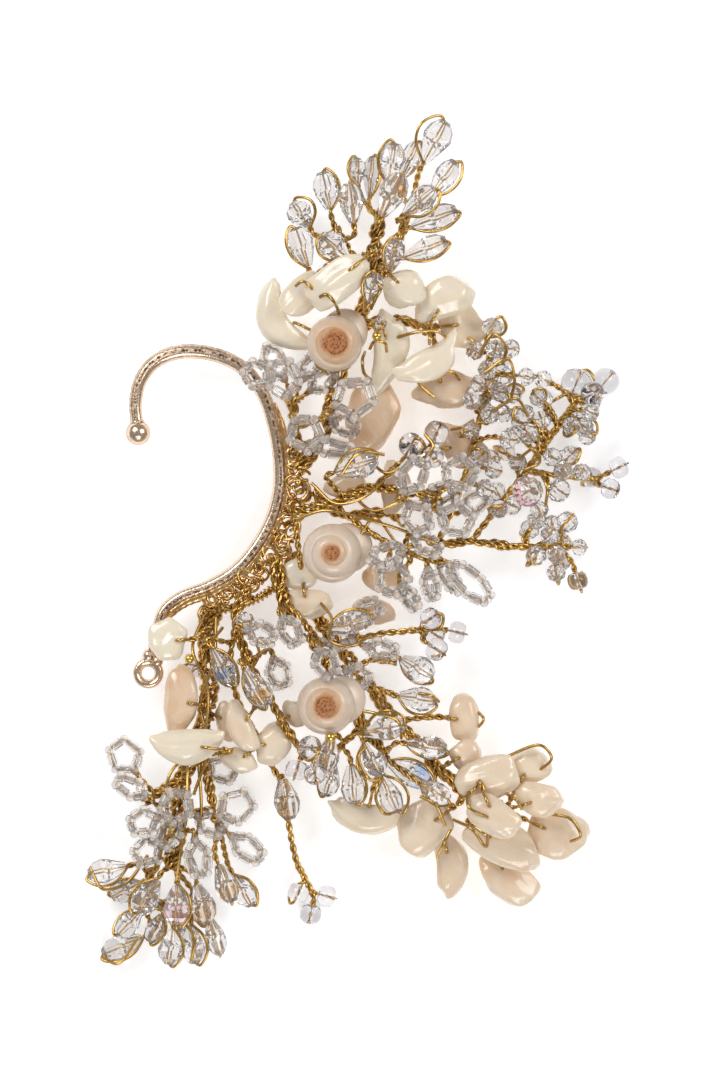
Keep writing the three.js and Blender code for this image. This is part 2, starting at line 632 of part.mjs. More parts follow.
/** A flat ring in the hook's plane. */
function laceRing({ along, out, ring }) {
  const geometry = new THREE.TorusGeometry(ring / 2, LACE_WIRE / 2, TUBE_SIDES, ring > 3 ? 8 : 6);
  const { x, y, z } = outside(along, out);
  geometry.translate(x, y, z);
  return solid(geometry);
}

const END_RING_BEVEL = 0.22;

/** The ring at the hook's lower end, with flat faces. */
function endRing(centre) {
  const half = END_RING_THICK / 2;
  const inner = END_RING_HOLE / 2;
  const outer = END_RING_DIAMETER / 2;
  const bevel = END_RING_THICK * END_RING_BEVEL;
  const profile = [
    [inner, -half], [outer - bevel, -half], [outer, -half + bevel],
    [outer, half - bevel], [outer - bevel, half], [inner, half], [inner, -half],
  ].map(([r, h]) => new THREE.Vector2(r, h));
  const geometry = new THREE.LatheGeometry(profile, 12);
  geometry.rotateX(Math.PI / 2);
  geometry.translate(centre.x, centre.y, centre.z);
  return solid(geometry);
}

function ball(centre, diameter, sides = 6, rings = 4) {
  const geometry = new THREE.SphereGeometry(diameter / 2, sides, rings);
  geometry.translate(centre.x, centre.y, centre.z);
  return solid(geometry);
}

// The flange on the bar's outer side: shares of the bar over which it rises and dies away.
const FLANGE_RISE = { start: 0.36, full: 0.46 };
const FLANGE_FALL = { full: 0.88, end: 0.94 };
const OUTER_SIDE = -0.99;

// How far the tip ball, the end ring and the knuckle sit off the bar's ends, as shares of their diameters.
const TIP_BALL_SEAT = 0.32;
const END_RING_SEAT = 0.5;
const KNUCKLE_SEAT = 0.7;

function earHook() {
  const centreline = hookCurve.getSpacedPoints(BAR_STEPS);
  const radii = centreline.map((_, i) => {
    const share = (i / BAR_STEPS) * (HOOK_SECTIONS.length - 1);
    const from = HOOK_SECTIONS[Math.floor(share)].thick;
    const to = HOOK_SECTIONS[Math.ceil(share)].thick;
    return (THREE.MathUtils.lerp(from, to, share % 1) * BAR_THICK) / 2;
  });
  const tip = centreline[0];
  const end = centreline[centreline.length - 1];
  const down = end.clone().sub(centreline[centreline.length - 2]).normalize();
  const tipOut = tip.clone().sub(centreline[1]).normalize();
  const flange = (share, angle) => {
    const rise = THREE.MathUtils.smoothstep(share, FLANGE_RISE.start, FLANGE_RISE.full);
    const fall = THREE.MathUtils.smoothstep(share, FLANGE_FALL.full, FLANGE_FALL.end);
    return Math.sin(angle) < OUTER_SIDE ? FLANGE_OUT * rise * (1 - fall) : 0;
  };
  const ringCentre = end.clone().addScaledVector(down, END_RING_DIAMETER * END_RING_SEAT);
  const ballCentre = tip.clone().addScaledVector(tipOut, TIP_BALL_DIAMETER * TIP_BALL_SEAT);
  return fuse([
    rod(centreline, radii, 8, flange),
    ball(ballCentre, TIP_BALL_DIAMETER, 10, 5),
    ...LACE_RINGS.map(laceRing),
    endRing(ringCentre),
    ball(end.clone().add(vec(KNUCKLE_DIAMETER * KNUCKLE_SEAT, 0, 0)), KNUCKLE_DIAMETER),
  ]);
}

// The binding roll: its first place outside the hook, and the step to each next one.
const BINDING_START = { along: 0.685, out: 7.5 * LACE_STRETCH };
const BINDING_STEP = { along: 0.0185, out: -0.48 * LACE_STRETCH };
const BINDING_PLACES = 9;

/** The wire wound along the lower stretch of the lace, as the roll it makes. */
function bindingWire() {
  const line = Array.from({ length: BINDING_PLACES }, (_, i) => (
    outside(BINDING_START.along + BINDING_STEP.along * i, BINDING_START.out + BINDING_STEP.out * i)
  ));
  return rod(line, BINDING_WIRE / 2, 5);
}

// A turban shell's outline from its mouth to its point, as shares of its radius and height.
const WHORLS = [
  [0, -0.5], [0.66, -0.46], [1, -0.04], [0.8, 0.14],
  [0.6, 0.18], [0.48, 0.34], [0.24, 0.38], [0, 0.5],
];

// Its flared lip and the hollow of its mouth: shares of the radius outward and sideways, and of the height.
const LIP = { long: 0.62, wide: 0.5, high: 0.24, drop: 0.14 };
const MOUTH = { long: 0.44, wide: 0.34, high: 0.26, drop: 0.36 };
const LIP_REACH = 0.72;

/** A turban shell standing on its mouth, with its point towards the viewer and a flared lip. */
function turbanShell({ x, y, z, size, lip }) {
  const radius = (SHELL_DIAMETER * size) / 2;
  const height = SHELL_HEIGHT * size;
  const centre = vec(x, y, z);
  const body = turning(WHORLS, radius, height, 10, centre, vec(0, 0, 1));
  const bulge = (form, sides) => {
    const geometry = new THREE.SphereGeometry(1, sides, 4);
    geometry.scale(radius * form.long, radius * form.wide, height * form.high);
    geometry.rotateZ(turned(lip));
    const place = centre.clone().addScaledVector(direction(lip), radius * LIP_REACH);
    geometry.translate(place.x, place.y, place.z - height * form.drop);
    return solid(geometry);
  };
  return body.add(bulge(LIP, 7)).subtract(bulge(MOUTH, 6));
}

const cuff = new THREE.Group();

/** Adds a solid to the cuff as a named mesh. */
function add(name, body, material) {
  const { vertProperties, triVerts } = body.getMesh();
  const geometry = new THREE.BufferGeometry();
  geometry.setAttribute('position', new THREE.BufferAttribute(new Float32Array(vertProperties), 3));
  geometry.setIndex(new THREE.BufferAttribute(new Uint32Array(triVerts), 1));
  geometry.computeVertexNormals();
  const mesh = new THREE.Mesh(geometry, material);
  mesh.name = name;
  cuff.add(mesh);
}

/** Lines of a spray's branches: the first leaves the spray's root, the others a point of a branch. */
function branchLines(root, branches, steps) {
  return branches.map((points, i) => {
    const spots = points.map((p) => vec(...p));
    return smooth(i === 0 ? [root, ...spots] : spots, steps);
  });
}

/** Balls that fill a row's outline, as spots for settling its depth. */
function spotsOf(kind, row) {
  const centre = vec(row.x, row.y, row.z);
  const at = (x, y, r) => ({ x, y, z: row.z, r });
  if (kind === 'rondelles' || kind === 'rounds') return [at(row.x, row.y, row.size / 2)];
  if (kind === 'drops') {
    const axis = direction(row.heading, row.lift);
    return [-0.3, 0, 0.3].map((share) => {
      const { x, y, z } = centre.clone().addScaledVector(axis, share * row.length);
      return { x, y, z, r: (row.width / 2) * (share === 0 ? 1 : 0.72) };
    });
  }
  if (kind === 'petals') {
    const along = direction(row.heading);
    const across = vec(-along.y, along.x, 0).applyAxisAngle(along, turned(row.lean));
    return Array.from({ length: 12 }, (_, i) => {
      const angle = (i * Math.PI) / 6;
      const spot = centre.clone().addScaledVector(along, (row.long - PETAL_BEAD / 2) * Math.cos(angle));
      spot.addScaledVector(across, (row.wide - PETAL_BEAD / 2) * Math.sin(angle));
      return { x: spot.x, y: spot.y, z: spot.z, r: PETAL_BEAD / 2 };
    });
  }
  const length = (row.length - row.thick) / 2;
  const width = (row.width - row.thick) / 2;
  const spots = [];
  for (const lengthwise of [-1, -0.5, 0, 0.5, 1]) {
    for (const sideways of [-1, 0, 1]) {
      const bow = row.bend * (lengthwise ** 2 - 0.4) * row.length * 0.5;
      const narrow = 1 - 0.5 * lengthwise ** 2;
      const offset = vec(lengthwise * length, sideways * width * narrow + bow, 0);
      offset.applyAxisAngle(vec(0, 1, 0), turned(-row.tip)).applyAxisAngle(vec(0, 0, 1), turned(row.turn));
      spots.push({ x: row.x + offset.x, y: row.y + offset.y, z: row.z + offset.z, r: row.thick / 2 });
    }
  }
  return spots;
}

// Balls that stand for the bar and for the lace: how many, and where the lace's row of them runs.
const BAR_BALLS = 61;
const LACE_BALLS = 31;
const LACE_ROW = { from: 0.49, step: 0.011, out: 2.6 * LACE_STRETCH, radius: LACE_WIRE * 0.8 };

/** Balls that fill what stays in place: the hook's bar, its lace and the turban shells. */
function fixedSpots() {
  const bar = Array.from({ length: BAR_BALLS }, (_, i) => (
    { ...outside(i / (BAR_BALLS - 1), 0), r: BAR_THICK / 2 }
  ));
  const lace = Array.from({ length: LACE_BALLS }, (_, i) => (
    { ...outside(LACE_ROW.from + LACE_ROW.step * i, LACE_ROW.out), r: LACE_ROW.radius }
  ));
  const shells = SHELLS.flatMap(({ x, y, z, size }) => {
    const r = (SHELL_HEIGHT * size) / 2;
    const reach = (SHELL_DIAMETER * size) / 2 - r;
    return Array.from({ length: 8 }, (_, i) => {
      const angle = (i * Math.PI) / 4;
      return { x: x + reach * Math.cos(angle), y: y + reach * Math.sin(angle), z, r };
    });
  });
  return [...bar, ...lace, ...shells];
}

/** Moves the stones, petals and chips apart in depth only, so that each keeps its place as seen. */
function settle(sprays) {
  const items = [{ row: null, spots: fixedSpots(), shift: 0, share: 0 }];
  for (const parts of Object.values(sprays)) {
    for (const kind of ['drops', 'rondelles', 'rounds', 'petals', 'chips']) {
      for (const row of parts[kind] ?? []) items.push({ row, spots: spotsOf(kind, row), shift: 0, share: 1 });
    }
  }
  const contacts = [];
  items.forEach((one, i) => items.slice(i + 1).forEach((two) => {
    for (const a of one.spots) {
      for (const b of two.spots) {
        const reach = a.r + b.r + SETTLE_GAP;
        const needed = reach ** 2 - (a.x - b.x) ** 2 - (a.y - b.y) ** 2;
        if (needed > 0) contacts.push({ one, two, needed: Math.sqrt(needed), apart: b.z - a.z });
      }
    }
  }));
  for (let pass = 0; pass < SETTLE_PASSES; pass += 1) {
    for (const { one, two, needed, apart } of contacts) {
      const now = apart + two.shift - one.shift;
      const lack = needed - Math.abs(now);
      if (lack > 0) {
        const push = (now < 0 ? -lack : lack) / (one.share + two.share);
        one.shift -= push * one.share;
        two.shift += push * two.share;
      }
    }
    for (const item of items) {
      const lowest = Math.min(...item.spots.map(({ z, r }) => z - r)) + item.shift;
      if (item.share > 0 && lowest < 0) item.shift -= lowest;
    }
  }
  for (const { row, shift } of items) if (row) row.z += shift;
}

/** One spray: its branches, and each drop, bead and petal on a stem, fused; its chips are drilled. */
function spray(key, { name, branches, drops = [], rondelles = [], rounds = [], petals = [], chips = [] }) {
  const root = rootOf(ROOTS[key]);
  const dense = branchLines(root, branches, 8);
  const solids = branchLines(root, branches, 1).map((line, i) => (
    rod(line, (i === 0 ? TRUNK_WIRE : BRANCH_WIRE) / 2, BRANCH_SIDES)
  ));
  for (const row of drops) {
    const axis = direction(row.heading, row.lift);
    const centre = vec(row.x, row.y, row.z);
    const end = centre.clone().addScaledVector(axis, -row.length / 2);
    const stem = [fork(dense, end, STEM_LEAD)];
    solids.push(stone(DROP_CUT, centre, axis, row.length, row.width, DROP_SIDES, stem));
  }
  const bead = (row, sides) => {
    const centre = vec(row.x, row.y, row.z);
    const start = fork(dense, centre, BEAD_LEAD);
    const axis = centre.clone().sub(start).normalize();
    const stem = start.distanceTo(centre) > row.size * 0.6 ? [start] : [];
    solids.push(stone(RONDELLE_CUT, centre, axis, row.size, row.size, sides, stem));
  };
  rondelles.forEach((row) => bead(row, RONDELLE_SIDES));
  rounds.forEach((row) => bead(row, ROUND_SIDES));
  for (const row of petals) {
    solids.push(petal(row));
    const axis = direction(row.heading);
    const end = vec(row.x, row.y, row.z).addScaledVector(axis, PETAL_BEAD / 2 - row.long);
    solids.push(rod([fork(dense, end, STEM_LEAD), end], STEM_WIRE / 2, STEM_SIDES));
  }
  chips.forEach((row, i) => {
    const centre = vec(row.x, row.y, row.z);
    const start = fork(dense, centre, STEM_LEAD);
    solids.push(rod([start, centre], STEM_WIRE / 2, STEM_SIDES));
    const past = centre.clone().add(centre.clone().sub(start).setLength(CLEARANCE));
    const hole = rod([start, past], STEM_WIRE / 2 + HOLE_MARGIN, STEM_SIDES);
    add(`${key}_nacre_${i + 1}`, pebble(row).subtract(hole), NACRE);
  });
  add(name, fuse(solids), CRYSTAL);
}

add('ear_hook', earHook(), GOLD_CAST);
add('binding_wire', bindingWire(), GOLD_WIRE);
SHELLS.forEach((row) => add(row.name, turbanShell(row), SHELL));
settle(SPRAYS);
Object.entries(SPRAYS).forEach(([key, parts]) => spray(key, parts));

// The lowest stone lies on the floor.
cuff.position.z = -new THREE.Box3().setFromObject(cuff).min.z;

export default cuff;
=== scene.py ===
"""Ear cuff: a gilt hook that carries wired sprays of cut glass, bead petals, nacre chips and turban shells.

It lies on its back on a pale floor and is seen from straight above.
Tables and sizes are in millimetres, as drawn; every mesh is written in metres.
X runs across, Y up the ear and Z from the floor to the viewer.
"""

import json
import logging
import math
from collections.abc import Callable, Sequence
from dataclasses import dataclass, field, replace
from enum import Enum
from functools import cache, cached_property

import bpy
import numpy as np
from mathutils import Matrix, Quaternion, Vector, noise

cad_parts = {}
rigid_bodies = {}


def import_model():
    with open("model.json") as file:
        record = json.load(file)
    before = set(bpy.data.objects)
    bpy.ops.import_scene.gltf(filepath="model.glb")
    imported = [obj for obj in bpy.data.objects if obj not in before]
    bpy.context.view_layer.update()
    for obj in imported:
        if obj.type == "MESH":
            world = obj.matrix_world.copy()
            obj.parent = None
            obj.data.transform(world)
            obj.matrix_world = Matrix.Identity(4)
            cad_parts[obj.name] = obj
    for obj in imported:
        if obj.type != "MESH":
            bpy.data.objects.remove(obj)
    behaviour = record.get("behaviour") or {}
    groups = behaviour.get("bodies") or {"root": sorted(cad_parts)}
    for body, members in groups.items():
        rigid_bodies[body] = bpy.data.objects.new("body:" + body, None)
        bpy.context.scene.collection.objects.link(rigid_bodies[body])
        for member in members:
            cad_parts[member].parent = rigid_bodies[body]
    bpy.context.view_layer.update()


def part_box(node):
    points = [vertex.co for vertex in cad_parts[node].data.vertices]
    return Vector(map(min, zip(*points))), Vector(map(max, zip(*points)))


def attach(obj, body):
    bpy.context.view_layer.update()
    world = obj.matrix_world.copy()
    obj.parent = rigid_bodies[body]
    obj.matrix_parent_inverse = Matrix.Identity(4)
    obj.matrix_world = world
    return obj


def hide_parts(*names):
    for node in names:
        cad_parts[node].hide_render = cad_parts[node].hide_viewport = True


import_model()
LOG = logging.getLogger("ear_cuff")

MM = 0.001
ROOT_BODY = "root"

# Cast hook
HOOK_WIDTH = 23.8
HOOK_HEIGHT = 50.6
HOOK_RIGHT = -13.3
HOOK_TOP = 31.1
HOOK_LEVEL = 6.4
BAR_THICK = 2.4
LACE_WIRE = 0.9

# Wire and glass
TRUNK_WIRE = 1.5
PETAL_BEAD = 1.5
CLEARANCE = 0.3
STEM_LEAD = 0.6
BEAD_LEAD = 0.2

# Turban shells
SHELL_DIAMETER = 9.2
SHELL_HEIGHT = 6.4

# How loose pieces are moved apart in depth
SETTLE_GAP = 0.35
SETTLE_PASSES = 80
BAR_BALLS = 61
LACE_BALLS = 31
LACE_FROM = 0.49
LACE_BALL_STEP = 0.011
LACE_BALL_OUT = 2.6

# Millimetres to a pixel of the picture, and its height in pixels
PIXEL = 0.165
IMAGE_HEIGHT = 1080

# Towards the viewer
UP = np.array((0.0, 0.0, 1.0))

# Steps in which a line's length is measured
WALK_STEPS = 200

# How loosely wires run in a bundle: how far each sways round it and off it, in radians per millimetre
SWAY_ROUND = 0.7
SWAY_ROUND_RATE = 0.9
SWAY_OFF = 0.25
SWAY_OFF_RATE = 0.6

Colour = tuple[float, float, float]
Line = np.ndarray


class Slot(Enum):
    """Finishes that the record names."""

    CAST = "gold_cast"
    WIRE = "gold_wire"
    SHELL = "shell"
    CRYSTAL = "crystal"
    BEAD = "bead_glass"
    NACRE = "nacre"


class Seat(Enum):
    """Side of a lace ring that a spray's trunk is wired to."""

    OVER = "over"
    UNDER = "under"
    BEYOND = "beyond"


def unit(vector: np.ndarray) -> np.ndarray:
    """The vector at length one."""
    return vector / np.linalg.norm(vector)


def direction(heading: float, lift: float = 0.0) -> np.ndarray:
    """A direction in the cuff's plane, lifted towards the viewer.

    Args:
        heading: Degrees from X, anticlockwise as seen.
        lift: Degrees out of the plane.

    Returns:
        The unit vector.
    """
    turn, rise = math.radians(heading), math.radians(lift)
    return np.array((math.cos(rise) * math.cos(turn), math.cos(rise) * math.sin(turn), math.sin(rise)))


def turned_about(vector: np.ndarray, axis: np.ndarray, degrees: float) -> np.ndarray:
    """The vector turned about an axis by an angle in degrees."""
    return np.array(Quaternion(Vector(axis), math.radians(degrees)) @ Vector(vector))


@dataclass
class Placed:
    """A thing with a centre."""

    x: float
    y: float
    z: float

    @property
    def centre(self) -> np.ndarray:
        """The centre as a vector."""
        return np.array((self.x, self.y, self.z), float)

    def spots(self) -> np.ndarray:
        """Balls that fill the outline, one row each: x, y, z and radius."""
        raise NotImplementedError


@dataclass
class Drop(Placed):
    """A long cut drop; loop is the side and reach of the wire that comes back round it."""

    length: float
    width: float
    heading: float
    lift: float
    loop: float = 0.0
    fire: float = 0.0

    @property
    def axis(self) -> np.ndarray:
        """From the stem's end to the far end."""
        return direction(self.heading, self.lift)

    def spots(self) -> np.ndarray:
        """Three balls along the axis.

        Returns:
            The balls.
        """
        found = []
        for share in (-0.3, 0.0, 0.3):
            place = self.centre + self.axis * share * self.length
            found.append((*place, (self.width / 2) * (1.0 if share == 0 else 0.72)))
        return np.array(found)


@dataclass
class Bead(Placed):
    """A cut or smooth round bead."""

    size: float
    fire: float = 0.0

    def spots(self) -> np.ndarray:
        """One ball."""
        return np.array([(self.x, self.y, self.z, self.size / 2)])


@dataclass
class Petal(Placed):
    """A ring of straight beads between round ones, with its first corner at the stem."""

    long: float
    wide: float
    corners: int
    heading: float
    lean: float

    @property
    def along(self) -> np.ndarray:
        """From the stem's corner through the middle."""
        return direction(self.heading)

    @property
    def across(self) -> np.ndarray:
        """Sideways in the petal's own plane."""
        flat = np.array((-self.along[1], self.along[0], 0.0))
        return turned_about(flat, self.along, self.lean)

    def ring(self, angle: float) -> np.ndarray:
        """The place on the thread at an angle from the stem's corner.

        Args:
            angle: Radians round the ring from the stem's corner.

        Returns:
            The place.
        """
        length = self.long - PETAL_BEAD / 2
        width = self.wide - PETAL_BEAD / 2
        return self.centre - self.along * length * math.cos(angle) - self.across * width * math.sin(angle)

    def spots(self) -> np.ndarray:
        """Twelve balls round the thread.

        Returns:
            The balls.
        """
        found = []
        for i in range(12):
            place = self.ring(math.pi + i * math.pi / 6)
            found.append((*place, PETAL_BEAD / 2))
        return np.array(found)


@dataclass
class Chip(Placed):
    """A polished nacre chip."""

    length: float
    width: float
    thick: float
    turn: float
    bend: float
    taper: float
    tip: float

    def laid(self, place: Sequence[float]) -> np.ndarray:
        """A place in the chip's own axes, as it lies in the cuff."""
        tilted = turned_about(np.array(place, float), np.array((0.0, 1.0, 0.0)), -self.tip)
        return self.centre + turned_about(tilted, UP, self.turn)

    def spots(self) -> np.ndarray:
        """Balls along the bow in three rows.

        Returns:
            The balls.
        """
        length = (self.length - self.thick) / 2
        width = (self.width - self.thick) / 2
        found = []
        for lengthwise in (-1, -0.5, 0, 0.5, 1):
            for sideways in (-1, 0, 1):
                bow = self.bend * (lengthwise**2 - 0.4) * self.length * 0.5
                narrow = 1 - 0.5 * lengthwise**2
                place = self.laid((lengthwise * length, sideways * width * narrow + bow, 0.0))
                found.append((*place, self.thick / 2))
        return np.array(found)


@dataclass
class Turban(Placed):
    """A turban shell standing on its mouth; lip is the heading of the flared mouth, apex the grainy share."""

    node: str
    size: float
    lip: float
    apex: float = 0.5

    def spots(self) -> np.ndarray:
        """Eight balls round the widest whorl.

        Returns:
            The balls.
        """
        radius = SHELL_HEIGHT * self.size / 2
        reach = SHELL_DIAMETER * self.size / 2 - radius
        found = []
        for i in range(8):
            angle = i * math.pi / 4
            spot = (self.x + reach * math.cos(angle), self.y + reach * math.sin(angle), self.z, radius)
            found.append(spot)
        return np.array(found)


def rows(kind: type[Placed], numbers: Sequence[Sequence[float]]) -> list[Placed]:
    """A table as objects of one kind, each row in the order of the kind's fields."""
    return [kind(*row) for row in numbers]


@dataclass
class Plan:
    """What one spray carries; extra stones are fine ones that only the dressed part has."""

    key: str
    node: str
    branches: list[list[list[float]]]
    drops: list[Drop] = field(default_factory=list)
    rondelles: list[Bead] = field(default_factory=list)
    rounds: list[Bead] = field(default_factory=list)
    petals: list[Petal] = field(default_factory=list)
    chips: list[Chip] = field(default_factory=list)
    extra_drops: list[Drop] = field(default_factory=list)
    extra_rondelles: list[Bead] = field(default_factory=list)
    extra_chips: list[Chip] = field(default_factory=list)
    extra_petals: list[Petal] = field(default_factory=list)
    arcs: list[list[list[float]]] = field(default_factory=list)

    def main_items(self) -> list[Placed]:
        """Everything that the CAD part has too, in the order in which it settles."""
        return [*self.drops, *self.rondelles, *self.rounds, *self.petals, *self.chips]

    def finer_items(self) -> list[Placed]:
        """What only the dressed part has."""
        return [*self.extra_drops, *self.extra_rondelles, *self.extra_chips, *self.extra_petals]


# Hook centreline: shares of the hook's width leftwards and of its height downwards, and of the bar.
HOOK_SECTIONS = [
    (0.987, 0.239, 0.86),
    (1.0, 0.174, 0.88),
    (0.97, 0.1, 0.92),
    (0.878, 0.038, 0.96),
    (0.731, 0.004, 1.0),
    (0.555, 0.0, 1.0),
    (0.382, 0.02, 1.0),
    (0.231, 0.063, 0.97),
    (0.109, 0.144, 0.93),
    (0.038, 0.249, 0.9),
    (0.004, 0.348, 0.88),
    (0.004, 0.447, 0.87),
    (0.05, 0.536, 0.86),
    (0.151, 0.628, 0.85),
    (0.307, 0.713, 0.84),
    (0.492, 0.765, 0.82),
    (0.676, 0.798, 0.8),
    (0.798, 0.842, 0.78),
    (0.853, 0.911, 0.76),
    (0.891, 1.0, 0.76),
]


@dataclass(frozen=True)
class LaceRing:
    """A ring of the lace: place as a share of the centreline, distance out from it, and ring size."""

    along: float
    out: float
    ring: float


LACE_RINGS = [
    LaceRing(0.5, 2.4, 2.0),
    LaceRing(0.528, 2.3, 2.0),
    LaceRing(0.562, 3.1, 3.6),
    LaceRing(0.598, 2.3, 1.8),
    LaceRing(0.626, 3.0, 3.8),
    LaceRing(0.664, 4.2, 2.0),
    LaceRing(0.684, 2.5, 2.9),
    LaceRing(0.714, 2.4, 1.9),
    LaceRing(0.748, 2.4, 2.0),
    LaceRing(0.74, 3.6, 1.9),
    LaceRing(0.78, 2.3, 1.9),
    LaceRing(0.812, 2.3, 1.9),
]

# The lace ring that each spray is wired to, and the side of it.
ROOTS = {
    "crown": (LACE_RINGS[1], Seat.OVER),
    "shoulder": (LACE_RINGS[0], Seat.OVER),
    "side": (LACE_RINGS[2], Seat.BEYOND),
    "middle": (LACE_RINGS[3], Seat.OVER),
    "lower": (LACE_RINGS[5], Seat.UNDER),
    "drops": (LACE_RINGS[6], Seat.OVER),
    "sprigs": (LACE_RINGS[8], Seat.OVER),
    "tail": (LACE_RINGS[11], Seat.UNDER),
}

SHELLS = [
    Turban(-4.2, 32.3, 12.0, "upper_shell", 1.0, 50, 0.52),
    Turban(-4.6, -2.2, 11.4, "middle_shell", 1.06, 20, 0.3),
    Turban(-5.6, -27.2, 14.2, "lower_shell", 1.04, 20, 0.42),
]


@dataclass(frozen=True)
class ChipLook:
    """How a chip differs from its plain outline: warmth, size, bow, a shift, horns and a fold.

    Horns are heading, reach and width in degrees in the chip's own axes; a fold is heading, offset and depth.
    """

    warm: float = 0.3
    swell: float = 1.08
    bow: float = 0.0
    shift: tuple[float, float] = (0.0, 0.0)
    turn: float = 0.0
    horns: tuple[tuple[float, float, float], ...] = ()
    fold: tuple[float, float, float] | None = None


CHIP_LOOKS = {
    "crown_nacre_1": ChipLook(0.08, 1.14, 0.3, horns=((90, -0.18, 40),)),
    "crown_nacre_2": ChipLook(0.12, 1.16, -0.06, fold=(86, 0.05, 0.3)),
    "crown_nacre_3": ChipLook(0.2, 1.18, 0.1, fold=(100, 0.3, 0.25)),
    "crown_nacre_4": ChipLook(0.15, 1.06),
    "crown_nacre_5": ChipLook(0.16, 1.12, -0.12, fold=(-80, 0.35, 0.22)),
    "crown_nacre_6": ChipLook(
        0.28, 1.16, shift=(-0.8, 0.0), fold=(60, 0.1, 0.25),
        horns=((97, 0.55, 20), (38, 0.45, 16), (-97, 0.4, 34), (150, 0.25, 26)),
    ),
    "crown_nacre_7": ChipLook(
        0.02, 1.18, 0.12, (-0.7, 0.4), fold=(95, 0.1, 0.3),
        horns=((-160, 0.3, 26), (-60, 0.25, 30), (10, 0.12, 20)),
    ),
    "crown_nacre_8": ChipLook(
        0.1, 1.2, 0.18, (-0.9, -2.2), 16.0, ((15, 0.3, 18), (-40, 0.25, 20)), (85, -0.1, 0.25)
    ),
    "crown_nacre_9": ChipLook(
        0.55, 1.08, horns=((6, 0.5, 14), (165, 0.2, 24), (-80, 0.2, 30)), fold=(100, 0.15, 0.25)
    ),
    "crown_nacre_10": ChipLook(0.95, 1.1, 0.05, horns=((60, 0.15, 30), (-110, -0.12, 30))),
    "middle_nacre_1": ChipLook(0.35, 1.12, 0.1, fold=(90, 0.1, 0.25)),
    "middle_nacre_2": ChipLook(0.6, 1.1),
    "middle_nacre_3": ChipLook(0.8, 1.3, horns=((30, 0.2, 30),)),
    "middle_nacre_4": ChipLook(0.9, 1.1, fold=(80, 0.0, 0.25)),
    "middle_nacre_5": ChipLook(0.05, 1.1, horns=((180, 0.15, 30), (-70, 0.2, 24)), fold=(20, 0.2, 0.3)),
    "middle_nacre_6": ChipLook(0.3, 1.12, 0.06, fold=(90, 0.25, 0.2)),
    "lower_nacre_1": ChipLook(0.6, 1.12),
    "lower_nacre_2": ChipLook(0.7, 1.1),
    "lower_nacre_3": ChipLook(0.42, 1.16, 0.05, fold=(85, 0.1, 0.25)),
    "lower_nacre_4": ChipLook(0.3, 1.16, horns=((160, 0.2, 24),)),
    "lower_nacre_5": ChipLook(0.5, 1.12, 0.06, fold=(70, 0.3, 0.25)),
    "lower_nacre_6": ChipLook(0.42, 1.14, -0.1),
    "lower_nacre_7": ChipLook(0.42, 1.18, -0.08, fold=(95, 0.2, 0.25)),
    "lower_nacre_8": ChipLook(0.5, 1.12, horns=((40, 0.14, 24), (-120, 0.14, 24)), fold=(60, 0.1, 0.22)),
    "lower_nacre_9": ChipLook(0.5, 1.12, 0.05, fold=(85, 0.1, 0.25)),
    "lower_nacre_10": ChipLook(0.38, 1.12, -0.06, horns=((-60, 0.16, 24),), fold=(30, 0.1, 0.25)),
    "lower_nacre_11": ChipLook(0.5, 1.14, 0.1, horns=((10, 0.15, 22),)),
    "lower_nacre_12": ChipLook(0.6, 1.1),
    "drops_nacre_1": ChipLook(0.25, 1.06, 0.12, horns=((178, 0.12, 14),), fold=(92, 0.2, 0.2)),
    "sprigs_nacre_1": ChipLook(0.25, 1.12, 0.06),
    "sprigs_nacre_2": ChipLook(0.4, 1.1, 0.1),
    "sprigs_nacre_3": ChipLook(0.3, 1.1),
    "sprigs_nacre_4": ChipLook(0.2, 1.05),
    "tail_nacre_1": ChipLook(
        0.0, 1.1, horns=((70, 0.16, 20), (-110, 0.18, 22), (20, 0.14, 18)), fold=(40, 0.05, 0.35)
    ),
    "tail_nacre_2": ChipLook(0.7, 1.06, 0.05, horns=((0, 0.08, 20),)),
    "tail_nacre_3": ChipLook(0.1, 1.04, 0.3, horns=((14, 0.1, 18), (166, 0.12, 18)), fold=(80, 0.1, 0.3)),
    "tail_nacre_4": ChipLook(0.5, 1.1),
}

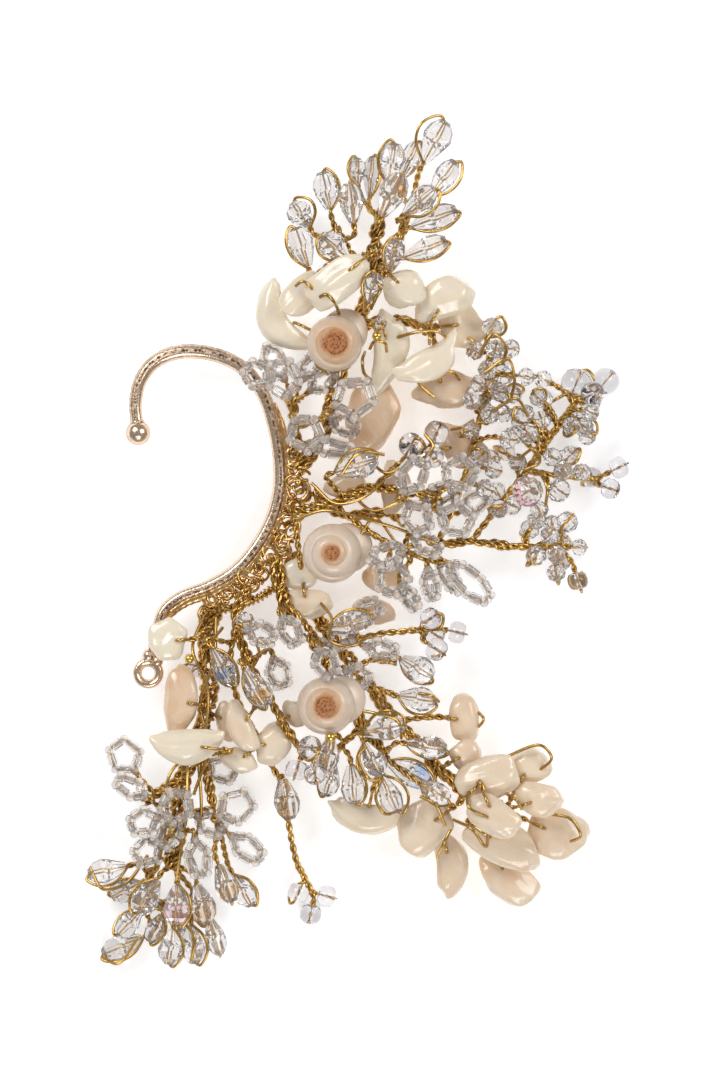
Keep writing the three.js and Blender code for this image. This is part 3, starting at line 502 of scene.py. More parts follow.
# A branch is a list of points; the first branch starts at the root of the spray.
SPRAYS = [
    Plan(
        key="crown",
        node="crown_spray",
        branches=[
            [[-6.2, 18, 7.6], [-3.6, 26, 6.6], [-0.6, 35, 6.4], [1.6, 43, 8], [2.6, 50, 9], [3, 54, 9.5]],
            [[1.6, 43, 8], [5.6, 48.5, 9.5], [8.6, 55, 9.4]],
            [[1.6, 43, 8], [-2, 47.6, 9], [-4.2, 51.4, 8.6]],
            [[-0.6, 35, 6.4], [5, 36.6, 6.4], [12.4, 35, 6]],
        ],
        drops=rows(Drop, [
            [12.4, 65.8, 8, 7.4, 5.0, 62, 0, 0.85, 0], [13.8, 59.6, 10, 6.9, 4.0, 55, 0, -0.75, 0],
            [12.2, 52.9, 13, 8.0, 4.3, 20, 8, -0.6, 0], [10.8, 48.0, 9.4, 7.4, 4.0, 22, 0, -0.6, 0],
            [9.8, 55.6, 14.6, 6.6, 4.1, 40, 15, -0.8, 0], [5.2, 56.6, 15, 7.6, 4.8, 65, 15, 0, 0.02],
            [5.2, 62.2, 9.6, 6.6, 4.4, 80, 5], [8.2, 62.9, 4.4, 6.6, 3.3, 68, -10],
            [-1.4, 55.4, 13, 6.6, 4.6, 96, 10], [-5.6, 57.6, 9, 6.3, 4.5, 102, 0, -0.64, 0],
            [-9.8, 53.8, 5.4, 4.8, 4.4, 125, -10, -0.78, 0],
            [-9.6, 48.3, 9.4, 6.8, 4.6, 108, 5, 0.62, 0], [-4.2, 48.2, 14, 5.6, 4.6, 140, 20, 0.7, 0],
            [-0.4, 61.0, 6.4, 4.3, 3.0, 92, -10, 0.65, 0], [1.8, 60.2, 2.2, 6.9, 3.0, 86, -12, -0.6, 0],
            [5.6, 46.8, 13.4, 5.8, 3.6, 75, 25],
        ]),
        rondelles=rows(Bead, [[3.3, 35.6, 12.4, 2.4]]),
        chips=rows(Chip, [
            [-12.9, 36.8, 8.6, 12.0, 5.0, 3.4, -62, 0.24, 0.1, 0],
            [-3.6, 42.6, 13.8, 10.8, 5.8, 3.6, 36, 0.05, -0.15, 10],
            [-9.6, 40.4, 13, 7.6, 4.8, 3.0, 40, 0, 0.1, -8],
            [7.4, 41.3, 12.4, 6.6, 6.2, 3.8, 10, 0, 0, 0],
            [14.0, 39.4, 11.4, 9.6, 5.8, 3.8, 24, -0.16, 0.1, 6],
            [17.8, 35.6, 6.4, 8.2, 4.6, 2.6, -38, 0.2, 0.3, 0],
            [5.0, 31.0, 9.4, 10.6, 4.6, 2.6, 84, 0.12, 0.12, 10],
            [11.4, 31.2, 9.2, 9.4, 4.2, 2.6, 10, 0.05, 0.2, 0],
            [13.7, 24.9, 7.0, 8.2, 5.4, 3.2, 12, -0.08, 0.15, 5],
            [2.4, 20.8, 6.0, 11.2, 7.8, 3.4, 74, 0.05, -0.15, 0],
        ]),
    ),
    Plan(
        key="shoulder",
        node="shoulder_bead_petals",
        branches=[
            [[-11, 18.6, 10.9], [-11, 22.4, 10.6]],
            [[-11, 18.6, 10.9], [-6.8, 19.8, 12.4], [-4.6, 21.4, 13]],
        ],
        petals=rows(Petal, [
            [-17.0, 27.3, 10.0, 3.1, 2.9, 5, 140, 15], [-12.6, 26.6, 12.0, 3.9, 3.4, 5, 100, -20],
            [-8.2, 28.6, 9.6, 2.8, 2.4, 5, 60, 30], [-8.9, 17.4, 14.0, 3.7, 3.5, 5, -50, 12],
            [-0.9, 23.3, 15.0, 4.1, 3.9, 5, 20, -15], [-4.6, 15.2, 12.2, 4.4, 2.2, 5, -10, 35],
        ]),
    ),
    Plan(
        key="side",
        node="rondelle_spray",
        branches=[
            [
                [-3.2, 4.4, 6], [5, 4.2, 5.4], [12.6, -0.6, 6.4],
                [18.2, -0.2, 8], [27.2, -1.2, 8], [32.4, -0.9, 7],
            ],
            [[18.2, -0.2, 8], [23, 5.8, 8], [27.4, 11.4, 8], [32.4, 18.4, 6.6], [36.2, 23.6, 5.4]],
            [[12.6, -0.6, 6.4], [16.6, 8.4, 8.4], [19.4, 18.4, 9], [21, 26.6, 9], [21.6, 32.6, 8.6]],
            [[27.4, 11.4, 8], [33.4, 10.6, 6], [39.6, 10, 4]],
        ],
        rondelles=rows(Bead, [
            [21.8, 35.1, 8.8, 3.6], [22.2, 31.4, 12.2, 3.3], [19.0, 31.2, 10.6, 3.3],
            [22.9, 24.4, 11.6, 3.4], [18.4, 22.9, 12.0, 3.3], [21.4, 20.6, 12.8, 3.3],
            [18.2, 18.0, 11.8, 3.2], [27.4, 26.9, 9.4, 3.2], [30.2, 23.2, 9.4, 3.4],
            [27.2, 20.8, 11.2, 3.3], [27.9, 17.4, 9.8, 3.3], [24.4, 16.6, 12.2, 3.4],
            [19.7, 13.6, 12.2, 3.3], [22.0, 11.6, 10.6, 3.3], [20.6, 8.5, 11.4, 3.3],
            [22.8, 5.1, 11.2, 3.2], [27.6, 8.0, 11.4, 5.4, 1.0], [31.6, 13.7, 9.4, 3.3],
            [34.8, 14.0, 7.0, 3.4], [32.8, 8.2, 9.2, 4.2, 0.02], [37.6, 17.2, 4.6, 3.3],
            [34.8, 18.8, 9.2, 3.2], [38.0, 21.0, 6.6, 3.2], [31.2, 0.8, 10.6, 3.3],
            [29.0, -2.6, 11.0, 3.6], [32.4, -2.4, 10.0, 3.3], [36.2, -1.2, 6.8, 3.0],
            [32.4, -5.4, 6.4, 3.4],
        ]),
        rounds=rows(Bead, [
            [35.8, 26.0, 2.9, 5.2], [40.8, 26.4, 2.4, 4.6], [38.4, 24.2, 5.6, 4.0],
            [38.4, 10.4, 1.9, 3.5], [42.9, 12.0, 3.4, 3.7], [41.4, 8.5, 5.2, 3.5],
            [36.0, -6.7, 5.6, 3.6],
        ]),
    ),
    Plan(
        key="middle",
        node="middle_spray",
        branches=[
            [[-4.6, 6.2, 10.4], [2, 8.6, 11.6], [8.6, 7.8, 12], [13.2, 7.4, 12.4]],
            [[-4.6, 6.2, 10.4], [2.6, 0.6, 11.4], [9.4, -2.6, 11.6], [13.2, -3.8, 11.6]],
            [[2, 8.6, 11.6], [7, 13, 11.6], [11, 15.2, 11.2]],
        ],
        drops=rows(Drop, [[-0.6, 12.2, 14.4, 7.2, 4.8, 18, 12]]),
        rounds=rows(Bead, [
            [8.4, 15.6, 14.4, 4.2], [12.6, 17.6, 13.4, 4.2], [12.0, 13.6, 15.0, 3.6],
        ]),
        petals=rows(Petal, [
            [8.6, 10.6, 16.0, 3.8, 3.0, 5, 60, 20], [16.4, 11.0, 14.6, 3.5, 3.4, 5, 45, -12],
            [9.4, 3.6, 15.2, 3.4, 3.0, 5, -60, 15], [15.8, 3.4, 13.2, 3.6, 3.4, 5, -25, -18],
            [5.4, -6.4, 14.4, 3.5, 3.4, 5, -110, 12], [11.6, -7.4, 13.4, 3.2, 2.2, 5, -80, 40],
            [18.0, -7.0, 12.4, 5.2, 2.7, 7, -42, -15],
        ]),
        chips=rows(Chip, [
            [5.6, 8.6, 7.8, 8.2, 4.2, 2.6, 86, 0.1, 0.1, 0],
            [-2.4, 8.8, 7.0, 6.6, 3.8, 2.4, 4, 0, 0.1, 0],
            [16.4, 15.4, 7.0, 7.4, 4.6, 2.6, -40, 0.08, 0.1, 0],
            [4.0, -6.2, 8.6, 6.8, 4.8, 3.0, -10, 0, -0.1, 0],
        ]),
    ),
    Plan(
        key="lower",
        node="nacre_spray",
        branches=[
            [
                [-8.6, -10.8, 4.4], [-2, -19.6, 5], [6, -29.8, 6.4],
                [12.4, -36.8, 7.6], [18.4, -42.6, 8.4], [24.4, -44.8, 8],
            ],
            [[12.4, -36.8, 7.6], [12.6, -42.4, 7.4], [13.4, -46.6, 7]],
            [[18.4, -42.6, 8.4], [20.8, -47.6, 6.6], [22.4, -52.4, 4.6]],
            [[6, -29.8, 6.4], [11, -29.2, 7], [15, -29.4, 7.6]],
        ],
        chips=rows(Chip, [
            [17.2, -29.6, 8.0, 7.4, 4.6, 3.2, 96, 0, 0.1, 0],
            [17.4, -35.2, 10.6, 5.0, 4.4, 3.0, 30, 0, 0, 0],
            [20.9, -39.0, 12.6, 9.6, 6.2, 3.8, 14, 0.08, 0.1, 6],
            [27.8, -37.4, 10.4, 6.4, 5.4, 3.6, 28, 0, 0.1, 0],
            [29.6, -42.6, 12.0, 7.4, 5.0, 3.4, -12, 0.06, 0, 0],
            [22.0, -45.4, 14.6, 8.8, 5.4, 3.4, -32, 0.12, 0, 5],
            [23.6, -50.4, 9.2, 11.8, 6.0, 3.6, -24, -0.08, 0.1, 0],
            [32.4, -48.4, 7.2, 9.0, 7.2, 3.8, -18, 0, 0.1, 0],
            [24.6, -56.2, 3.8, 10.2, 5.8, 3.4, -34, 0.06, 0.1, 0],
            [10.8, -47.2, 9.4, 9.0, 7.2, 3.8, 58, 0, -0.1, 0],
            [14.8, -53.8, 5.0, 9.8, 4.8, 3.2, 96, 0.14, 0, 0],
            [2.2, -12.0, 2.6, 6.6, 4.0, 2.6, -10, 0, 0, 0],
        ]),
    ),
    Plan(
        key="drops",
        node="drop_spray",
        branches=[
            [[-11.6, -11.6, 9.6], [-7, -17.6, 10], [-3.6, -23.4, 10], [0.6, -30.4, 10.6], [4, -35.6, 11]],
            [[-7, -17.6, 10], [-2, -16.6, 11], [5, -15.2, 11.2], [10.6, -14.8, 10.6]],
            [[-3.6, -23.4, 10], [1.6, -19.8, 11], [6, -20.2, 11]],
            [[-3.6, -23.4, 10], [1.6, -24.2, 10.6], [5.4, -25.4, 10.4]],
            [[0.6, -30.4, 10.6], [-3.4, -34.2, 10]],
        ],
        drops=rows(Drop, [
            [-1.6, -13.6, 13.4, 7.0, 4.0, 12, 10], [9.4, -21.1, 10.4, 6.0, 4.8, -30, 0],
            [9.4, -26.1, 10.8, 6.0, 4.3, -8, 0, -0.75, 0],
            [4.0, -31.0, 14.6, 6.9, 4.3, 12, 20, 0.85, 0], [11.0, -34.0, 11.8, 6.6, 4.0, -8, 10],
            [2.2, -36.0, 15.4, 6.0, 4.0, -62, 15, -0.9, 0],
            [8.2, -38.4, 12.2, 7.6, 4.5, -28, 5, 0, 0.5], [12.4, -41.4, 12.4, 5.2, 4.0, -30, 0],
            [4.8, -41.8, 13.4, 6.6, 4.0, -66, 8, 0.9, 0], [-1.2, -40.2, 11.0, 6.3, 4.3, -84, 0],
            [-5.0, -39.6, 7.0, 5.6, 3.8, -104, -12], [-5.2, -35.2, 12.4, 5.8, 4.0, -100, 12],
        ]),
        rounds=rows(Bead, [
            [11.6, -12.9, 12.2, 3.7], [12.6, -18.0, 10.4, 3.9], [16.0, -15.2, 10.4, 3.7],
            [12.4, -15.6, 8.2, 3.5],
        ]),
        petals=rows(Petal, [
            [-11.4, -15.0, 14.2, 3.2, 2.6, 5, -60, 25], [1.4, -11.6, 9.6, 2.9, 2.6, 5, 30, 15],
            [-5.6, -20.2, 14.4, 3.2, 2.7, 5, -60, -20], [-0.4, -22.4, 14.2, 2.9, 2.6, 5, -30, 25],
        ]),
        chips=rows(Chip, [
            [1.2, -45.2, 8.4, 12.4, 5.0, 3.4, -6, 0.2, 0, 0],
        ]),
    ),
    Plan(
        key="sprigs",
        node="long_sprigs",
        branches=[
            [
                [-20.4, -13.6, 9.6], [-18.0, -20.4, 12],
                [-15.2, -25.4, 12.6], [-12.6, -30.4, 12], [-9.4, -35.0, 11],
            ],
            [
                [-20.4, -13.6, 9.6], [-21.4, -21.8, 8.4], [-19.4, -28.0, 6.6],
                [-16.0, -34.4, 6.6], [-12.8, -40.4, 6.6],
            ],
            [[-12.8, -40.4, 6.6], [-11.9, -46.6, 6], [-10.6, -52.8, 5], [-8.2, -58, 4]],
        ],
        drops=rows(Drop, [
            [-22.6, -20.9, 13.2, 6.9, 4.0, -62, 10, 0, 0.5],
            [-17.0, -24.2, 16, 6.9, 4.4, -58, 0, 0, 0.02], [-12.2, -42.8, 6.8, 6.8, 4.6, -80, 0],
        ]),
        rondelles=rows(Bead, [[-18.9, -13.4, 12.6, 3.4]]),
        rounds=rows(Bead, [
            [-8.2, -34.0, 13.6, 3.9], [-10.4, -37.8, 11.2, 3.9], [-7.4, -38.4, 14.2, 3.7],
            [-10.2, -58.4, 4.2, 3.6], [-5.5, -59.0, 3.4, 3.7], [-8.2, -62.0, 2.6, 3.7],
        ]),
        petals=rows(Petal, [
            [-16.2, -15.4, 14.4, 3.2, 2.5, 5, -20, 20], [-13.4, -22.0, 8.0, 3.2, 2.6, 5, -70, -25],
        ]),
        chips=rows(Chip, [
            [-14.4, -33.8, 10.4, 6.6, 5.0, 3.0, 70, 0, 0.1, 0],
            [-19.4, -30.8, 11.6, 8.4, 3.8, 2.8, -64, 0.08, 0, 0],
            [-20.0, -36.4, 9.2, 5.6, 3.6, 2.6, -20, 0, 0, 0],
            [-11.0, -28.6, 8.8, 4.8, 3.2, 2.4, -60, 0, 0, 0],
        ]),
    ),
    Plan(
        key="tail",
        node="tail_spray",
        branches=[
            [
                [-25.4, -18, 4.6], [-25.2, -26.4, 5.6], [-26.6, -33, 7.4],
                [-29, -39.6, 8.4], [-30, -47, 8.6], [-30.8, -54.2, 8],
            ],
            [[-29, -39.6, 8.4], [-33, -41.6, 9.6], [-35.6, -43.4, 9.6]],
            [[-26.6, -33, 7.4], [-24.8, -40.4, 8.8], [-23.2, -47.2, 8.6]],
            [[-30, -47, 8.6], [-34.4, -55, 6], [-36.2, -60.4, 3.6]],
        ],
        drops=rows(Drop, [
            [-41.8, -54.6, 6.2, 6.4, 4.3, 192, 0, 0.7, 0], [-38.8, -58.0, 3.4, 5.2, 4.0, 208, -8],
            [-35.0, -58.8, 9.2, 6.4, 4.6, 240, 5, -0.7, 0],
            [-30.2, -60.0, 12, 6.6, 4.6, 268, 0, 0, 1.0],
            [-26.0, -60.0, 9.6, 6.6, 4.6, 285, 0, 0, 0.02],
            [-22.2, -56.6, 9.4, 6.6, 4.0, 290, 0, 0, 0.02], [-19.4, -58.0, 5.4, 5.8, 4.0, 300, -10],
            [-38.2, -63.4, 3.0, 5.4, 4.0, 228, 0], [-39.4, -67.3, 2.6, 7.2, 4.3, 203, 0, 0.62, 0],
            [-31.2, -67.0, 8.2, 5.8, 4.2, 263, -5], [-27.6, -66.8, 8.0, 6.3, 4.2, 276, -5, 0.7, 0],
            [-24.0, -65.6, 6.0, 6.2, 3.8, 286, -10],
        ]),
        rondelles=rows(Bead, [[-27.6, -21.6, 8.2, 2.8]]),
        petals=rows(Petal, [
            [-38.8, -35.6, 9.4, 3.6, 3.4, 5, 125, 12], [-37.8, -40.6, 13.0, 3.5, 2.5, 5, 150, 35],
            [-35.6, -46.4, 13.4, 3.2, 2.9, 5, 200, -15], [-35.0, -51.4, 9.6, 3.2, 2.9, 5, 210, 10],
            [-30.2, -43.8, 13.4, 3.5, 3.3, 5, 80, 8], [-26.6, -52.4, 12.6, 3.8, 2.6, 5, -80, -20],
            [-20.4, -43.8, 12.0, 3.8, 3.4, 5, 30, 10], [-18.6, -50.8, 9.0, 3.9, 2.6, 5, -38, 18],
            [-22.8, -38.0, 5.4, 3.2, 2.8, 5, -30, -25],
        ]),
        chips=rows(Chip, [
            [-31.6, -16.6, 10.6, 6.4, 5.4, 2.8, 70, 0, 0.1, 0],
            [-29.7, -26.6, 9.4, 11.2, 5.4, 3.4, 84, 0.06, 0.1, 0],
            [-28.4, -33.6, 11.8, 10.8, 5.6, 3.2, 6, -0.1, 0, 0],
            [-22.0, -30.0, 5.0, 6.0, 3.6, 2.6, -80, 0, 0, 0],
        ]),
    ),
]


@dataclass(frozen=True)
class SmoothLine:
    """A centripetal Catmull-Rom line through points."""

    knots: np.ndarray

    def points(self, shares: np.ndarray) -> Line:
        """Places on the line.

        Args:
            shares: Where, from 0 to 1, each stretch between knots counting the same.

        Returns:
            One row for each share.
        """
        return np.array([self._point(float(share)) for share in shares])

    def _point(self, share: float) -> np.ndarray:
        """The place at one share of the line.

        Args:
            share: Where, from 0 to 1.

        Returns:
            The place.
        """
        knots = self.knots
        last = len(knots) - 1
        spot = share * last
        i = int(math.floor(spot))
        weight = spot - i
        if i >= last:
            i, weight = last - 1, 1.0
        before = knots[i - 1] if i > 0 else 2 * knots[0] - knots[1]
        after = knots[i + 2] if i + 2 <= last else 2 * knots[last] - knots[last - 1]
        here, there = knots[i], knots[i + 1]
        first = np.dot(before - here, before - here) ** 0.25
        middle = np.dot(here - there, here - there) ** 0.25
        third = np.dot(there - after, there - after) ** 0.25
        leave = (here - before) / first - (there - before) / (first + middle) + (there - here) / middle
        enter = (there - here) / middle - (after - here) / (middle + third) + (after - there) / third
        leave, enter = leave * middle, enter * middle
        square = -3 * here + 3 * there - 2 * leave - enter
        cube = 2 * here - 2 * there + leave + enter
        return here + leave * weight + square * weight**2 + cube * weight**3

    @cached_property
    def _walked(self) -> np.ndarray:
        """Length walked at even shares.

        Returns:
            The lengths, from nothing to the whole.
        """
        line = self.points(np.linspace(0, 1, WALK_STEPS + 1))
        steps = np.linalg.norm(np.diff(line, axis=0), axis=1)
        return np.concatenate(([0.0], np.cumsum(steps)))

    def share_at(self, walked: float) -> float:
        """The share of the line at a share of its length."""
        return float(np.interp(walked * self._walked[-1], self._walked, np.linspace(0, 1, WALK_STEPS + 1)))

    def at(self, walked: float) -> np.ndarray:
        """The place at a share of the line's length."""
        return self._point(self.share_at(walked))

    def heading(self, walked: float) -> np.ndarray:
        """The direction at a share of the line's length."""
        share = self.share_at(walked)
        return unit(self._point(min(share + 1e-4, 1.0)) - self._point(max(share - 1e-4, 0.0)))


def smooth(points: Sequence[np.ndarray], steps: int) -> Line:
    """A smooth line through points, with the same number of steps in each stretch."""
    knots = np.array(points, float)
    return SmoothLine(knots).points(np.linspace(0, 1, steps * (len(knots) - 1) + 1))


HOOK_LINE = SmoothLine(np.array([
    (HOOK_RIGHT - left * HOOK_WIDTH, HOOK_TOP - down * HOOK_HEIGHT, HOOK_LEVEL)
    for left, down, _ in HOOK_SECTIONS
]))


def outside(along: float, out: float, rise: float = 0.0) -> np.ndarray:
    """A place outside the hook.

    Args:
        along: Share of the centreline's length.
        out: Distance from the centreline.
        rise: Height over the hook's middle.

    Returns:
        The place.
    """
    heading = HOOK_LINE.heading(along)
    return HOOK_LINE.at(along) + np.array((-heading[1] * out, heading[0] * out, rise))


def root_of(key: str) -> np.ndarray:
    """The start of a spray's trunk, clear of the ring that it is wired to.

    Args:
        key: The spray.

    Returns:
        The trunk's first point.
    """
    ring, seat = ROOTS[key]
    rim = ring.out + ring.ring / 2
    if seat is Seat.BEYOND:
        return outside(ring.along, rim + LACE_WIRE / 2 + CLEARANCE)
    rise = (LACE_WIRE + TRUNK_WIRE) / 2 + CLEARANCE
    return outside(ring.along, rim, rise if seat is Seat.OVER else -rise)


def fixed_spots() -> np.ndarray:
    """Balls that fill what stays in place: the hook's bar, its lace and the turban shells.

    Returns:
        The balls.
    """
    bar = [(*outside(i / (BAR_BALLS - 1), 0), BAR_THICK / 2) for i in range(BAR_BALLS)]
    lace = [
        (*outside(LACE_FROM + LACE_BALL_STEP * i, LACE_BALL_OUT), LACE_WIRE * 0.8)
        for i in range(LACE_BALLS)
    ]
    shells = np.vstack([shell.spots() for shell in SHELLS])
    return np.vstack([np.array(bar), np.array(lace), shells])


def settle(moving: list[Placed], fixed: np.ndarray) -> None:
    """Moves things apart in depth only, so that each keeps its place as seen.

    Args:
        moving: Things whose z may change.
        fixed: Balls that stay, one row each.
    """
    spots = [fixed, *(thing.spots() for thing in moving)]
    shares = [0.0] + [1.0] * len(moving)
    shifts = [0.0] * len(spots)
    contacts = []
    for one in range(len(spots)):
        for two in range(one + 1, len(spots)):
            a, b = spots[one][:, None, :], spots[two][None, :, :]
            flat = (a[..., 0] - b[..., 0]) ** 2 + (a[..., 1] - b[..., 1]) ** 2
            needed = (a[..., 3] + b[..., 3] + SETTLE_GAP) ** 2 - flat
            for i, j in zip(*np.nonzero(needed > 0)):
                apart = spots[two][j, 2] - spots[one][i, 2]
                contacts.append((one, two, math.sqrt(needed[i, j]), float(apart)))
    lows = [float((balls[:, 2] - balls[:, 3]).min()) for balls in spots]
    for _ in range(SETTLE_PASSES):
        for one, two, needed, apart in contacts:
            now = apart + shifts[two] - shifts[one]
            lack = needed - abs(now)
            if lack > 0:
                push = (-lack if now < 0 else lack) / (shares[one] + shares[two])
                shifts[one] -= push * shares[one]
                shifts[two] += push * shares[two]
        for i in range(1, len(spots)):
            lowest = lows[i] + shifts[i]
            if lowest < 0:
                shifts[i] -= lowest
    for thing, shift in zip(moving, shifts[1:]):
        thing.z += shift


def linked(name: str, data: bpy.types.ID) -> bpy.types.Object:
    """A new object in the scene, at the origin.

    Args:
        name: Its name.
        data: Its mesh, light or camera.

    Returns:
        The object.
    """
    made = bpy.data.objects.new(name, data)
    bpy.context.scene.collection.objects.link(made)
    return made


@dataclass
class Shape:
    """Corners in millimetres and faces of a mesh in the making."""

    corners: np.ndarray
    faces: list[tuple[int, ...]]

    def joined(self, other: "Shape") -> "Shape":
        """Both shapes as one.

        Args:
            other: The shape to add.

        Returns:
            The joined shape.
        """
        count = len(self.corners)
        shifted = [tuple(i + count for i in face) for face in other.faces]
        return Shape(np.vstack([self.corners, other.corners]), self.faces + shifted)

    def mesh(self, name: str) -> bpy.types.Mesh:
        """The shape as a mesh in metres, its faces outwards.

        Args:
            name: The mesh's name.

        Returns:
            The mesh.
        """
        mesh = bpy.data.meshes.new(name)
        mesh.from_pydata((self.corners * MM).tolist(), [], self.faces)
        mesh.validate()
        mesh.update()
        return mesh

    def piece(self, name: str, material: bpy.types.Material, smoothly: bool = True) -> bpy.types.Object:
        """The shape as an object.

        Args:
            name: The piece's name.
            material: Its finish.
            smoothly: Whether its faces are shaded as one round surface.

        Returns:
            The object, at the origin.
        """
        made = linked(name, self.mesh(name))
        made.data.materials.append(material)
        made.data.polygons.foreach_set("use_smooth", [smoothly] * len(made.data.polygons))
        return made


def stack(rings: Sequence[np.ndarray], closed: bool = False) -> Shape:
    """A skin over rings of corners, with the same count in each, running anticlockwise along the stack.

    Args:
        rings: One array of corners for each ring.
        closed: Whether the last ring joins the first; otherwise both ends are capped.

    Returns:
        The shape.
    """
    sides = len(rings[0])
    faces = []
    for i in range(len(rings) - (0 if closed else 1)):
        for k in range(sides):
            a, b = i * sides + k, i * sides + (k + 1) % sides
            up = sides if i + 1 < len(rings) else sides - len(rings) * sides
            faces.append((a, b, b + up, a + up))
    if not closed:
        top = (len(rings) - 1) * sides
        faces.append(tuple(reversed(range(sides))))
        faces.append(tuple(range(top, top + sides)))
    return Shape(np.vstack(rings), faces)


def frames_along(line: Line) -> list[tuple[np.ndarray, np.ndarray]]:
    """Two directions across a line at each of its points, which turn as little as they can.

    Args:
        line: Points of the line.

    Returns:
        For each point the side that starts at the viewer, and the one across it.
    """
    steps = np.gradient(line, axis=0)
    side = np.array((0.0, 0.0, 1.0)) if abs(unit(steps[0])[2]) < 0.9 else np.array((1.0, 0.0, 0.0))
    found = []
    for step in steps:
        ahead = unit(step)
        side = unit(side - ahead * np.dot(side, ahead))
        found.append((side, np.cross(ahead, side)))
    return found


def bundle(line: Line, count: int, off: float, turn: float) -> list[Line]:
    """Lines that run together round a line, as wires gathered in one hand.

    Args:
        line: The middle of the bundle.
        count: How many lines it has.
        off: Their distance from the middle.
        turn: Length in which they go round once.

    Returns:
        The lines.
    """
    walked = np.concatenate(([0.0], np.cumsum(np.linalg.norm(np.diff(line, axis=0), axis=1))))
    found = []
    for strand in range(count):
        points = []
        for place, far, (side, other) in zip(line, walked, frames_along(line)):
            sway = SWAY_ROUND * math.sin(far * SWAY_ROUND_RATE + strand)
            angle = math.tau * (far / turn + strand / count) + sway
            reach = off * (1.0 + SWAY_OFF * math.sin(far * SWAY_OFF_RATE + 2.0 * strand))
            points.append(place + (side * math.cos(angle) + other * math.sin(angle)) * reach)
        found.append(np.array(points))
    return found


Profile = Callable[[float, float], float]


def sweep(line: Line, radius: Profile, sides: int, flat: float = 1.0) -> Shape:
    """A rod along a line.

    Args:
        line: Points of its middle.
        radius: The radius at a share of the line and an angle from the viewer's side, turning inwards.
        sides: Corners in each section.
        flat: Depth of the section as a share of its width.

    Returns:
        The closed rod.
    """
    rings = []
    for i, (place, (side, other)) in enumerate(zip(line, frames_along(line))):
        ring = []
        for k in range(sides):
            angle = 2 * math.pi * k / sides
            reach = radius(i / (len(line) - 1), angle)
            ring.append(place + (side * math.cos(angle) * flat + other * math.sin(angle)) * reach)
        rings.append(np.array(ring))
    return stack(rings)


def lathe(profile: Sequence[tuple[float, float]], sides: int, shifts: Sequence[float] = ()) -> Shape:
    """A body turned about Z.

    Args:
        profile: Radii and heights from the lower cap to the upper one.
        sides: Corners in each ring.
        shifts: For each ring, the share of a side that it is turned by; none by default.

    Returns:
        The closed body.
    """
    rings = []
    for i, (radius, height) in enumerate(profile):
        turn = shifts[i] if shifts else 0.0
        angles = [2 * math.pi * (k + turn) / sides for k in range(sides)]
        rings.append(np.array([(radius * math.cos(a), radius * math.sin(a), height) for a in angles]))
    return stack(rings)


def ring_body(profile: Sequence[tuple[float, float]], sides: int) -> Shape:
    """A ring turned about Z from a closed outline of radii and heights that runs anticlockwise.

    Args:
        profile: The outline.
        sides: Sections round the ring.

    Returns:
        The closed ring.
    """
    rings = []
    for k in range(sides):
        angle = 2 * math.pi * k / sides
        rings.append(np.array([(r * math.cos(angle), r * math.sin(angle), h) for r, h in profile[::-1]]))
    return stack(rings, closed=True)


def circle(radius: float, wall: float, sides: int, flat: float = 1.0) -> list[tuple[float, float]]:
    """The outline of a round wire bent to a ring, running anticlockwise."""
    angles = [2 * math.pi * k / sides for k in range(sides)]
    return [(radius + wall * math.cos(a), wall * flat * math.sin(a)) for a in angles]


